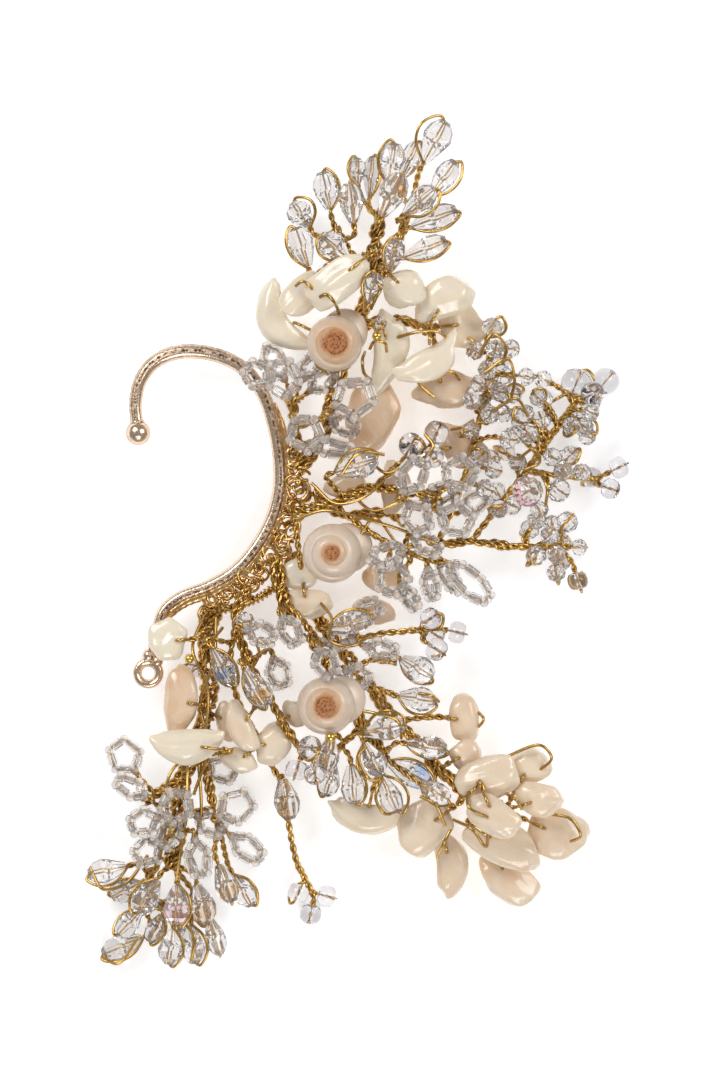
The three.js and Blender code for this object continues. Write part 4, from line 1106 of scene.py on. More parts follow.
class Graph:
    """A node tree with short ways to add nodes and link them."""

    def __init__(self, tree: bpy.types.NodeTree) -> None:
        """Takes the tree to fill."""
        self.tree = tree

    def add(self, kind: str, feeds: dict | None = None, **settings: object) -> bpy.types.Node:
        """Adds a node.

        Args:
            kind: Blender's name of the node type.
            feeds: For input sockets, by name or number, a value or the socket that feeds them.
            settings: Properties of the node.

        Returns:
            The node.
        """
        node = self.tree.nodes.new(kind)
        for name, value in settings.items():
            setattr(node, name, value)
        self.feed_all(node, feeds or {})
        return node

    def feed(self, socket: bpy.types.NodeSocket, value: object) -> None:
        """Links a socket to another one, or gives it a value.

        Args:
            socket: The input.
            value: The value, or the output that feeds it.
        """
        if isinstance(value, bpy.types.NodeSocket):
            self.tree.links.new(value, socket)
        else:
            socket.default_value = value

    def feed_all(self, node: bpy.types.Node, feeds: dict) -> None:
        """Feeds inputs of a node, by name or number."""
        for key, value in feeds.items():
            self.feed(node.inputs[key], value)

    def math(self, operation: str, first: object, second: object = 0.0) -> bpy.types.NodeSocket:
        """The outcome of a sum on one or two numbers."""
        return self.add("ShaderNodeMath", {0: first, 1: second}, operation=operation).outputs[0]

    def plus(self, first: object, second: object) -> bpy.types.NodeSocket:
        """The sum of two numbers."""
        return self.math("ADD", first, second)

    def times(self, first: object, second: object) -> bpy.types.NodeSocket:
        """The product of two numbers."""
        return self.math("MULTIPLY", first, second)

    def vector(self, operation: str, first: object, second: object) -> bpy.types.NodeSocket:
        """The outcome of a sum on two vectors."""
        return self.add("ShaderNodeVectorMath", {0: first, 1: second}, operation=operation).outputs[0]

    def scaled(self, vector: object, scale: object) -> bpy.types.NodeSocket:
        """A vector times a number."""
        feeds = {0: vector, "Scale": scale}
        return self.add("ShaderNodeVectorMath", feeds, operation="SCALE").outputs[0]

    def mixed(self, share: object, first: object, second: object, blend: str = "MIX") -> bpy.types.NodeSocket:
        """Two colours mixed by a share.

        Args:
            share: How much of the second.
            first: A colour.
            second: Another.
            blend: How.

        Returns:
            The mixed colour.
        """
        feeds = {0: share, 6: first, 7: second}
        node = self.add("ShaderNodeMix", feeds, data_type="RGBA", blend_type=blend)
        return node.outputs[2]

    def spread(
        self, value: object, low: float, high: float, to_low: float, to_high: float
    ) -> bpy.types.NodeSocket:
        """A number carried from one range to another and kept inside it."""
        feeds = {0: value, 1: low, 2: high, 3: to_low, 4: to_high}
        return self.add("ShaderNodeMapRange", feeds).outputs[0]

    def clouds(
        self, place: object, scale: object, detail: float = 3.0, warp: float = 0.0
    ) -> bpy.types.NodeSocket:
        """Soft noise from 0 to 1."""
        feeds = {"Vector": place, "Scale": scale, "Detail": detail, "Distortion": warp}
        return self.add("ShaderNodeTexNoise", feeds).outputs[0]


Sockets = dict[str, tuple[str, object]]


def new_tree(name: str, kind: str, takes: Sockets, gives: dict[str, str]) -> tuple:
    """A node group with named inputs and outputs.

    Args:
        name: The group's name.
        kind: ShaderNodeTree or GeometryNodeTree.
        takes: For each input its socket type and value.
        gives: For each output its socket type.

    Returns:
        The tree, its graph, what it is given and what it gives out.
    """
    tree = bpy.data.node_groups.new(name, kind)
    for label, (socket_type, value) in takes.items():
        socket = tree.interface.new_socket(name=label, in_out="INPUT", socket_type=socket_type)
        if value is not None:
            socket.default_value = value
    for label, socket_type in gives.items():
        tree.interface.new_socket(name=label, in_out="OUTPUT", socket_type=socket_type)
    graph = Graph(tree)
    return tree, graph, graph.add("NodeGroupInput").outputs, graph.add("NodeGroupOutput").inputs


def opaque(colour: Colour) -> tuple[float, float, float, float]:
    """A colour with full alpha."""
    return (*colour, 1.0)


@cache
def patina_group() -> bpy.types.NodeTree:
    """Wear of gilt metal: bright where rubbed and dark where dull, with fine pits.

    Returns:
        The group, which gives a colour, a roughness and a height.
    """
    takes = {
        "Vector": ("NodeSocketVector", None),
        "Scale": ("NodeSocketFloat", 300.0),
        "Grain": ("NodeSocketFloat", 2500.0),
        "Bright": ("NodeSocketColor", opaque((0.9, 0.7, 0.4))),
        "Dark": ("NodeSocketColor", opaque((0.3, 0.18, 0.06))),
        "Dullness": ("NodeSocketFloat", 0.35),
    }
    gives = {"Color": "NodeSocketColor", "Roughness": "NodeSocketFloat", "Height": "NodeSocketFloat"}
    tree, graph, given, out = new_tree("GiltPatina", "ShaderNodeTree", takes, gives)
    coarse = graph.clouds(given["Vector"], given["Scale"], 4.0, 0.6)
    fine = graph.clouds(given["Vector"], given["Grain"], 2.0)
    dull = graph.times(graph.spread(coarse, 0.4, 0.72, 0.0, 1.0), given["Dullness"])
    graph.feed(out["Color"], graph.mixed(dull, given["Bright"], given["Dark"]))
    rough = graph.plus(graph.spread(fine, 0.3, 0.7, 0.0, 0.12), graph.times(dull, 0.3))
    graph.feed(out["Roughness"], graph.plus(rough, 0.16))
    graph.feed(out["Height"], graph.plus(fine, graph.times(coarse, 0.6)))
    return tree


@cache
def lustre_group() -> bpy.types.NodeTree:
    """Mother of pearl: growth bands and clouds between a pale, a warm and a cool tone.

    Returns:
        The group, which gives a colour, a height and a sheen.
    """
    takes = {
        "Vector": ("NodeSocketVector", None),
        "Warmth": ("NodeSocketFloat", 0.3),
        "Pale": ("NodeSocketColor", opaque((0.85, 0.78, 0.66))),
        "Warm": ("NodeSocketColor", opaque((0.8, 0.55, 0.38))),
        "Cool": ("NodeSocketColor", opaque((0.72, 0.74, 0.76))),
        "Clouds": ("NodeSocketFloat", 140.0),
        "Bands": ("NodeSocketFloat", 260.0),
    }
    gives = {"Color": "NodeSocketColor", "Height": "NodeSocketFloat", "Sheen": "NodeSocketFloat"}
    tree, graph, given, out = new_tree("PearlLustre", "ShaderNodeTree", takes, gives)
    place = given["Vector"]
    drift = graph.clouds(place, given["Clouds"], 3.0, 1.2)
    feeds = {"Vector": place, "Scale": given["Bands"], "Distortion": 9.0, "Detail": 2.0}
    bands = graph.add("ShaderNodeTexWave", feeds, wave_type="BANDS", bands_direction="DIAGONAL").outputs[1]
    warm = graph.times(given["Warmth"], graph.spread(drift, 0.25, 0.7, 0.45, 1.35))
    warm = graph.plus(warm, graph.spread(bands, 0.0, 1.0, -0.06, 0.08))
    cream = graph.mixed(warm, given["Pale"], given["Warm"])
    cool = graph.spread(graph.clouds(place, 210.0, 2.0, 2.0), 0.55, 0.8, 0.0, 0.4)
    graph.feed(out["Color"], graph.mixed(cool, cream, given["Cool"]))
    graph.feed(out["Height"], graph.plus(drift, graph.times(bands, 0.16)))
    graph.feed(out["Sheen"], graph.spread(bands, 0.0, 1.0, 0.16, 0.34))
    return tree


@cache
def glint_group() -> bpy.types.NodeTree:
    """Light in glass: a faint tone that changes over the stones, and coloured fire on single facets.

    Returns:
        The group, which gives a colour and a height.
    """
    takes = {
        "Vector": ("NodeSocketVector", None),
        "Fire": ("NodeSocketFloat", 0.0),
        "Facet": ("NodeSocketFloat", 0.0),
        "Clear": ("NodeSocketColor", opaque((0.95, 0.95, 0.96))),
        "Smoke": ("NodeSocketColor", opaque((0.8, 0.78, 0.84))),
    }
    gives = {"Color": "NodeSocketColor", "Height": "NodeSocketFloat"}
    tree, graph, given, out = new_tree("GlassGlint", "ShaderNodeTree", takes, gives)
    place = given["Vector"]
    tone = graph.spread(graph.clouds(place, 190.0, 1.0), 0.35, 0.65, 0.0, 1.0)
    body = graph.mixed(tone, given["Clear"], given["Smoke"])
    ramp = graph.add("ShaderNodeValToRGB", {0: given["Fire"]})
    stops = ramp.color_ramp.elements
    stops[0].color = opaque((1.0, 0.62, 0.2))
    stops[1].color = opaque((1.0, 0.45, 0.62))
    middle = stops.new(0.5)
    middle.color = opaque((0.35, 0.55, 1.0))
    lit = graph.math("GREATER_THAN", given["Fire"], 0.01)
    share = graph.times(graph.times(lit, given["Facet"]), 0.85)
    graph.feed(out["Color"], graph.mixed(share, body, ramp.outputs[0]))
    graph.feed(out["Height"], graph.clouds(place, 900.0, 2.0))
    return tree


def new_surface(name: str) -> tuple[bpy.types.Material, Graph, bpy.types.Node, bpy.types.NodeSocket]:
    """A material to fill.

    Args:
        name: The material's name.

    Returns:
        The material, its graph, its shader and its object coordinates.
    """
    material = bpy.data.materials.new(name)
    material.use_nodes = True
    graph = Graph(material.node_tree)
    shader = material.node_tree.nodes["Principled BSDF"]
    place = graph.add("ShaderNodeTexCoord").outputs["Object"]
    return material, graph, shader, place


def read(graph: Graph, attribute: str) -> bpy.types.NodeSocket:
    """The value of a mesh attribute in a material."""
    return graph.add("ShaderNodeAttribute", attribute_name=attribute).outputs["Fac"]


def bump(graph: Graph, shader: bpy.types.Node, height: object, strength: float, distance: float) -> None:
    """Raises a surface by a height, with strength and distance as plain values."""
    feeds = {"Height": height, "Strength": strength, "Distance": distance}
    graph.feed(shader.inputs["Normal"], graph.add("ShaderNodeBump", feeds).outputs["Normal"])


@dataclass(frozen=True)
class Gilt:
    """Gilt metal: its bright and dark tones, how dull it is, the size of its grain, and how strongly painted
    shade darkens its rims towards the dark tone.
    """

    name: str
    bright: Colour
    dark: Colour
    dullness: float
    scale: float
    grain: float
    relief: float
    # Painted shade: how strongly the rims, where the surface turns away from the camera, are mixed towards
    # the dark tone.
    edge: float = 0.8

    @cache
    def material(self) -> bpy.types.Material:
        """The finish as a material; the grain attribute darkens struck places, and painted shade darkens the
        rims.

        Returns:
            The material.
        """
        material, graph, shader, place = new_surface(self.name)
        dark = opaque(self.dark)
        patina = graph.add("ShaderNodeGroup", {
            "Vector": place,
            "Scale": self.scale,
            "Grain": self.grain,
            "Bright": opaque(self.bright),
            "Dark": dark,
            "Dullness": self.dullness,
        }, node_tree=patina_group()).outputs
        struck = read(graph, "grain")
        speckle = graph.spread(graph.clouds(place, self.grain * 0.7, 3.0), 0.42, 0.6, 1.0, 0.0)
        shade = graph.times(graph.times(struck, speckle), 0.75)
        # Painted shade: the colour is mixed towards the dark tone where the surface turns away from the
        # camera, standing in for the dark surroundings that it would reflect there.
        facing = graph.add("ShaderNodeLayerWeight", {"Blend": 0.5}).outputs["Facing"]
        edge = graph.spread(facing, 0.45, 1.0, 0.0, self.edge)
        graph.feed_all(shader, {
            "Base Color": graph.mixed(edge, graph.mixed(shade, patina["Color"], dark), dark),
            "Roughness": graph.plus(patina["Roughness"], graph.times(struck, 0.14)),
            "Metallic": 1.0,
        })
        bump(graph, shader, graph.plus(patina["Height"], graph.times(shade, -2.0)), self.relief, 0.00012)
        return material


@dataclass(frozen=True)
class Glass:
    """Clear glass: its tones, its polish and its strength of refraction."""

    name: str
    clear: Colour
    smoke: Colour
    polish: float
    bending: float
    through: float

    @cache
    def material(self) -> bpy.types.Material:
        """The finish as a material; fire and facet attributes colour single facets.

        Returns:
            The material.
        """
        material, graph, shader, place = new_surface(self.name)
        glint = graph.add("ShaderNodeGroup", {
            "Vector": place,
            "Fire": read(graph, "fire"),
            "Facet": read(graph, "facet"),
            "Clear": opaque(self.clear),
            "Smoke": opaque(self.smoke),
        }, node_tree=glint_group()).outputs
        graph.feed_all(shader, {
            "Base Color": glint["Color"],
            "Roughness": self.polish,
            "IOR": self.bending,
            "Transmission Weight": self.through,
        })
        bump(graph, shader, glint["Height"], 0.06, 0.00005)
        return material


@dataclass(frozen=True)
class Pearl:
    """Polished mother of pearl, from ivory to peach by each chip's warmth."""

    name: str
    pale: Colour
    warm: Colour
    cool: Colour

    @cache
    def material(self) -> bpy.types.Material:
        """The finish as a material; the warm attribute runs from ivory to peach.

        Returns:
            The material.
        """
        material, graph, shader, place = new_surface(self.name)
        lustre = graph.add("ShaderNodeGroup", {
            "Vector": place,
            "Warmth": read(graph, "warm"),
            "Pale": opaque(self.pale),
            "Warm": opaque(self.warm),
            "Cool": opaque(self.cool),
        }, node_tree=lustre_group()).outputs
        graph.feed_all(shader, {
            "Base Color": lustre["Color"],
            "Roughness": lustre["Sheen"],
            "Subsurface Weight": 0.2,
            "Subsurface Radius": (1.0, 0.9, 0.75),
            "Subsurface Scale": 0.001,
            "Coat Weight": 0.6,
            "Coat Roughness": 0.08,
        })
        bump(graph, shader, lustre["Height"], 0.25, 0.0002)
        return material


@dataclass(frozen=True)
class ShellSkin:
    """A turban shell's skin: cream on the body whorl and grainy orange brown at the point."""

    name: str
    body: Colour
    band: Colour
    point: Colour
    crumb: Colour

    @cache
    def material(self) -> bpy.types.Material:
        """The finish as a material; the apex attribute runs from 0 at the point to 1 at the mouth.

        Returns:
            The material.
        """
        material, graph, shader, place = new_surface(self.name)
        drift = graph.clouds(place, 240.0, 3.0, 0.8)
        reach = graph.plus(read(graph, "apex"), graph.spread(drift, 0.3, 0.7, -0.05, 0.05))
        grains = graph.add("ShaderNodeTexVoronoi", {"Vector": place, "Scale": 1900.0}).outputs["Distance"]
        crumb = graph.spread(grains, 0.1, 0.55, 0.0, 1.0)
        crumbs = graph.mixed(crumb, opaque(self.crumb), opaque(self.point))
        inner = graph.mixed(graph.spread(reach, 0.38, 0.54, 0.0, 1.0), crumbs, opaque(self.band))
        lustre = graph.add("ShaderNodeGroup", {
            "Vector": place,
            "Warmth": graph.spread(reach, 0.5, 1.0, 0.75, 0.15),
            "Pale": opaque(self.body),
            "Warm": opaque(self.band),
            "Cool": opaque((0.66, 0.6, 0.6)),
        }, node_tree=lustre_group()).outputs
        graph.feed_all(shader, {
            "Base Color": graph.mixed(graph.spread(reach, 0.5, 0.72, 0.0, 1.0), inner, lustre["Color"]),
            "Roughness": graph.spread(reach, 0.4, 0.6, 0.5, 0.25),
            "Subsurface Weight": 0.15,
            "Subsurface Radius": (1.0, 0.85, 0.7),
            "Subsurface Scale": 0.001,
            "Coat Weight": 0.2,
        })
        height = graph.times(grains, graph.spread(reach, 0.38, 0.56, 1.0, 0.05))
        bump(graph, shader, height, 0.9, 0.0003)
        return material


# The eighth number of a gilt is how strongly painted shade darkens its rims; the ball gilt keeps the default.
CAST_GILT = Gilt("CastGilt", (0.88, 0.67, 0.49), (0.12, 0.065, 0.03), 0.2, 260.0, 2600.0, 0.3, 0.9)
LACE_GILT = Gilt("LaceGilt", (0.86, 0.55, 0.25), (0.13, 0.06, 0.015), 0.4, 420.0, 3000.0, 0.2, 1.0)
WIRE_GILT = Gilt("WireGilt", (0.68, 0.42, 0.12), (0.1, 0.045, 0.01), 0.4, 200.0, 3000.0, 0.02, 1.0)
BALL_GILT = Gilt("BallGilt", (0.85, 0.57, 0.16), (0.35, 0.18, 0.03), 0.2, 500.0, 3500.0, 0.05)
CORE_GILT = Gilt("CoreGilt", (0.66, 0.5, 0.28), (0.24, 0.16, 0.08), 0.4, 600.0, 3500.0, 0.1, 0.5)
CUT_GLASS = Glass("CutGlass", (1.0, 0.98, 0.97), (0.86, 0.83, 0.82), 0.015, 1.48, 0.87)
BEAD_GLASS = Glass("BeadGlass", (0.9, 0.88, 0.89), (0.76, 0.73, 0.75), 0.03, 1.5, 0.95)
TUBE_GLASS = Glass("TubeGlass", (1.0, 0.97, 0.95), (0.93, 0.9, 0.88), 0.03, 1.42, 0.84)
SEED_GLASS = Glass("SeedGlass", (1.0, 0.97, 0.95), (0.95, 0.91, 0.89), 0.02, 1.42, 0.7)
NACRE = Pearl("Nacre", (0.93, 0.83, 0.65), (0.79, 0.52, 0.31), (0.74, 0.75, 0.76))
SHELL_SKIN = ShellSkin(
    "ShellSkin", (0.82, 0.69, 0.56), (0.72, 0.46, 0.26), (0.55, 0.22, 0.075), (0.2, 0.06, 0.018)
)


@dataclass(frozen=True)
class Lay:
    """How a wire lies: its strands, their size, their distance from the middle, and one turn's length."""

    strands: int
    wire: float
    off: float
    turn: float
    step: float
    sides: int = 6


TRUNK_PAIRS = {
    "crown": 3, "shoulder": 2, "side": 2, "middle": 2, "lower": 3, "drops": 3, "sprigs": 2, "tail": 4,
}
PAIR_LAY = Lay(2, 0.58, 0.3, 3.6, 0.3)
STEM_LAY = Lay(2, 0.52, 0.27, 2.9, 0.28)
SINGLE_LAY = Lay(1, 0.54, 0.0, 1.0, 0.35)
THREAD_LAY = Lay(1, 0.32, 0.0, 1.0, 0.5)


@cache
def wire_tree(strands: int) -> bpy.types.NodeTree:
    """Strands wound along every chain of edges of a mesh.

    Args:
        strands: How many strands there are.

    Returns:
        The tree, with the wire's sizes as inputs.
    """
    takes = {
        "Geometry": ("NodeSocketGeometry", None),
        "Wire Radius": ("NodeSocketFloat", 0.00025),
        "Off Middle": ("NodeSocketFloat", 0.0),
        "Turn Length": ("NodeSocketFloat", 0.002),
        "Step": ("NodeSocketFloat", 0.0003),
        "Sides": ("NodeSocketInt", 6),
        "Finish": ("NodeSocketMaterial", None),
    }
    gives = {"Geometry": "NodeSocketGeometry"}
    tree, graph, given, out = new_tree(f"Wire{strands}", "GeometryNodeTree", takes, gives)
    tree.is_modifier = True
    path = graph.add("GeometryNodeMeshToCurve", {"Mesh": given["Geometry"]}).outputs[0]
    feeds = {"Curve": path, "Length": given["Step"]}
    even = graph.add("GeometryNodeResampleCurve", feeds, mode="LENGTH").outputs[0]
    ahead = graph.add("GeometryNodeInputTangent").outputs[0]
    side = graph.add("GeometryNodeInputNormal").outputs[0]
    other = graph.vector("CROSS_PRODUCT", ahead, side)
    walked = graph.add("GeometryNodeSplineParameter").outputs["Length"]
    turns = graph.times(graph.math("DIVIDE", walked, given["Turn Length"]), math.tau)
    section = graph.add("GeometryNodeCurvePrimitiveCircle", mode="RADIUS")
    graph.feed(section.inputs["Resolution"], given["Sides"])
    graph.feed(section.inputs["Radius"], given["Wire Radius"])
    together = graph.add("GeometryNodeJoinGeometry")
    for strand in range(strands):
        angle = graph.plus(turns, math.tau * strand / strands)
        lean = graph.vector(
            "ADD",
            graph.scaled(side, graph.math("COSINE", angle)),
            graph.scaled(other, graph.math("SINE", angle)),
        )
        feeds = {"Geometry": even, "Offset": graph.scaled(lean, given["Off Middle"])}
        wound = graph.add("GeometryNodeSetPosition", feeds).outputs[0]
        feeds = {"Curve": wound, "Profile Curve": section.outputs[0], "Fill Caps": True}
        graph.feed(together.inputs[0], graph.add("GeometryNodeCurveToMesh", feeds).outputs[0])
    rounded = graph.add("GeometryNodeSetShadeSmooth", {"Geometry": together.outputs[0]}).outputs[0]
    real = graph.add("GeometryNodeRealizeInstances", {"Geometry": rounded}).outputs[0]
    feeds = {"Geometry": real, "Material": given["Finish"]}
    graph.feed(out[0], graph.add("GeometryNodeSetMaterial", feeds).outputs[0])
    return tree


@cache
def setting_tree() -> bpy.types.NodeTree:
    """Copies of one stone on every point of a mesh, by the points' turn and size.

    Returns:
        The tree, with the stone and its finish as inputs.
    """
    takes = {
        "Geometry": ("NodeSocketGeometry", None),
        "Stone": ("NodeSocketObject", None),
        "Finish": ("NodeSocketMaterial", None),
    }
    gives = {"Geometry": "NodeSocketGeometry"}
    tree, graph, given, out = new_tree("Setting", "GeometryNodeTree", takes, gives)
    tree.is_modifier = True
    stone = graph.add("GeometryNodeObjectInfo", {"Object": given["Stone"]}).outputs["Geometry"]
    turn = graph.add("GeometryNodeInputNamedAttribute", {"Name": "turn"}, data_type="FLOAT_VECTOR").outputs[0]
    size = graph.add("GeometryNodeInputNamedAttribute", {"Name": "size"}, data_type="FLOAT_VECTOR").outputs[0]
    feeds = {
        "Points": given["Geometry"],
        "Instance": stone,
        "Rotation": graph.add("FunctionNodeEulerToRotation", {0: turn}).outputs[0],
        "Scale": size,
    }
    copies = graph.add("GeometryNodeInstanceOnPoints", feeds).outputs[0]
    real = graph.add("GeometryNodeRealizeInstances", {"Geometry": copies}).outputs[0]
    feeds = {"Geometry": real, "Material": given["Finish"]}
    graph.feed(out[0], graph.add("GeometryNodeSetMaterial", feeds).outputs[0])
    return tree


def grown(source: bpy.types.Object, tree: bpy.types.NodeTree, values: dict[str, object]) -> bpy.types.Object:
    """Runs a geometry tree on an object and keeps the outcome as its plain mesh.

    Args:
        source: The object that holds the tree's points or paths.
        tree: The tree.
        values: The tree's inputs by name.

    Returns:
        The same object with the new mesh and no modifier.
    """
    modifier = source.modifiers.new("Maker", "NODES")
    modifier.node_group = tree
    names = {item.name: item.identifier for item in tree.interface.items_tree if item.in_out == "INPUT"}
    for label, value in values.items():
        modifier[names[label]] = value
    graph = bpy.context.evaluated_depsgraph_get()
    made = bpy.data.meshes.new_from_object(
        source.evaluated_get(graph), preserve_all_data_layers=True, depsgraph=graph
    )
    source.modifiers.clear()
    source.data = made
    return source


def wired(name: str, lines: Sequence[Line], lay: Lay, finish: Gilt) -> bpy.types.Object:
    """Wires along lines as one piece.

    Args:
        name: The piece's name.
        lines: The lines in millimetres.
        lay: How the wire lies.
        finish: Its metal.

    Returns:
        The object.
    """
    corners, edges, count = [], [], 0
    lowest = lay.off + lay.wire / 2
    for line in lines:
        corners.append(np.column_stack((line[:, :2], np.maximum(line[:, 2], lowest))))
        edges += [(count + i, count + i + 1) for i in range(len(line) - 1)]
        count += len(line)
    mesh = bpy.data.meshes.new(name)
    mesh.from_pydata((np.vstack(corners) * MM).tolist(), edges, [])
    return grown(linked(name, mesh), wire_tree(lay.strands), {
        "Wire Radius": lay.wire / 2 * MM,
        "Off Middle": lay.off * MM,
        "Turn Length": lay.turn * MM,
        "Step": lay.step * MM,
        "Sides": lay.sides,
        "Finish": finish.material(),
    })


@dataclass(frozen=True)
class Setting:
    """Where one copy of a stone goes: its centre, its axis, its width and length, its turn and its fire."""

    centre: np.ndarray
    axis: np.ndarray
    width: float
    length: float
    spin: float = 0.0
    fire: float = 0.0


class Cut(Enum):
    """Forms of stone, each a unit long along Z and a unit wide."""

    DROP = "drop"
    RONDELLE = "rondelle"
    ROUND = "round"
    SEED = "seed"
    BUGLE = "bugle"
    BALL = "ball"
    LINING = "lining"


# The unit form of each cut, and whether it is shaded smoothly.
UNIT_STONES = {
    Cut.DROP: (lathe(
        [(0.16, -0.5), (0.42, -0.1), (0.5, 0.1), (0.42, 0.32), (0.2, 0.5)], 8, (0.0, 0.0, 0.5, 0.5, 0.5)
    ), False),
    Cut.RONDELLE: (lathe(
        [(0.2, -0.46), (0.4, -0.3), (0.5, 0.0), (0.4, 0.3), (0.2, 0.46)], 9, (0.0, 0.5, 0.0, 0.5, 0.0)
    ), False),
    Cut.BUGLE: (ring_body(
        [(0.22, 0.5), (0.22, -0.5), (0.44, -0.5), (0.5, -0.46), (0.5, 0.46), (0.44, 0.5)], 6
    ), False),
    Cut.SEED: (ring_body(circle(0.27, 0.23, 8, flat=1.9), 12), True),
    Cut.ROUND: (ring_body(circle(0.265, 0.235, 10, flat=1.8), 16), True),
    Cut.LINING: (lathe([(0.12, -0.5), (0.15, -0.48), (0.15, 0.48), (0.12, 0.5)], 6), True),
    Cut.BALL: (lathe(
        [(0.12, -0.47), (0.34, -0.36), (0.47, -0.16), (0.47, 0.16), (0.34, 0.36), (0.12, 0.47)], 14
    ), True),
}


@cache
def stone_object(cut: Cut) -> bpy.types.Object:
    """The unit stone that settings copy; one face in the upper half is its fire facet.

    Args:
        cut: Which form.

    Returns:
        The stone, a metre long.
    """
    shape, smoothly = UNIT_STONES[cut]
    mesh = Shape(shape.corners / MM, shape.faces).mesh(f"unit_{cut.value}")
    mesh.polygons.foreach_set("use_smooth", [smoothly] * len(mesh.polygons))
    facet = mesh.attributes.new("facet", "FLOAT", "FACE")
    upper = [i for i, face in enumerate(mesh.polygons) if face.center.z > 0.05 and face.normal.z < 0.9]
    for i in upper[: len(upper) // 4]:
        facet.data[i].value = 1.0
    return bpy.data.objects.new(f"unit_{cut.value}", mesh)


def set_stones(name: str, cut: Cut, settings: Sequence[Setting], finish: Glass | Gilt) -> bpy.types.Object:
    """Stones of one form as one piece.

    Args:
        name: The piece's name.
        cut: Their form.
        settings: Where each goes.
        finish: Their glass or metal.

    Returns:
        The object.
    """
    mesh = bpy.data.meshes.new(name)
    mesh.from_pydata([tuple(place.centre * MM) for place in settings], [], [])
    turns, sizes = [], []
    for place in settings:
        swing = Vector(UP).rotation_difference(Vector(place.axis))
        swing = swing @ Quaternion((0.0, 0.0, 1.0), math.radians(place.spin))
        turns.append(tuple(swing.to_euler()))
        sizes.append((place.width * MM, place.width * MM, place.length * MM))
    mesh.attributes.new("turn", "FLOAT_VECTOR", "POINT").data.foreach_set("vector", np.ravel(turns))
    mesh.attributes.new("size", "FLOAT_VECTOR", "POINT").data.foreach_set("vector", np.ravel(sizes))
    fires = [place.fire for place in settings]
    mesh.attributes.new("fire", "FLOAT", "POINT").data.foreach_set("value", fires)
    feeds = {"Stone": stone_object(cut), "Finish": finish.material()}
    return grown(linked(name, mesh), setting_tree(), feeds)


def keep(piece: bpy.types.Object, slot: Slot, *nodes: str) -> bpy.types.Object:
    """Makes a piece part of the object: it rides on the root and stands for nodes.

    Args:
        piece: The piece.
        slot: Not used.
        nodes: Nodes that it stands for.

    Returns:
        The piece.
    """
    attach(piece, ROOT_BODY)
    if nodes:
        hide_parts(*nodes)
    LOG.info("%s: %d faces", piece.name, len(piece.data.polygons))
    return piece


def keep_wires(name: str, lines: Sequence[Line], lay: Lay, node: str) -> None:
    """Gilt wires along lines as one piece that stands for a node, where there are any."""
    if lines:
        keep(wired(name, lines, lay, WIRE_GILT), Slot.WIRE, node)


def mark(piece: bpy.types.Object, name: str, values: Sequence[float]) -> None:
    """Writes one number for each corner of a piece."""
    attribute = piece.data.attributes.new(name, "FLOAT", "POINT")
    attribute.data.foreach_set("value", np.array(values, np.float32))


def moved(shape: Shape, place: np.ndarray, axis: np.ndarray | None = None) -> Shape:
    """A shape made at the origin, with its Z axis turned to an axis, carried to a place.

    Args:
        shape: The shape.
        place: Where to.
        axis: Its new axis, if any.

    Returns:
        The moved shape.
    """
    corners = shape.corners
    if axis is not None:
        swing = Vector(UP).rotation_difference(Vector(axis)).to_matrix()
        corners = corners @ np.array(swing).T
    return Shape(corners + place, shape.faces)


# Plain gold beads that close a wire: place and size.
GOLD_BALLS = [(2.8, 33.5, 14.6, 1.7), (-4.8, -32.3, 16.6, 1.9), (-28.0, -19.5, 13.4, 1.7)]


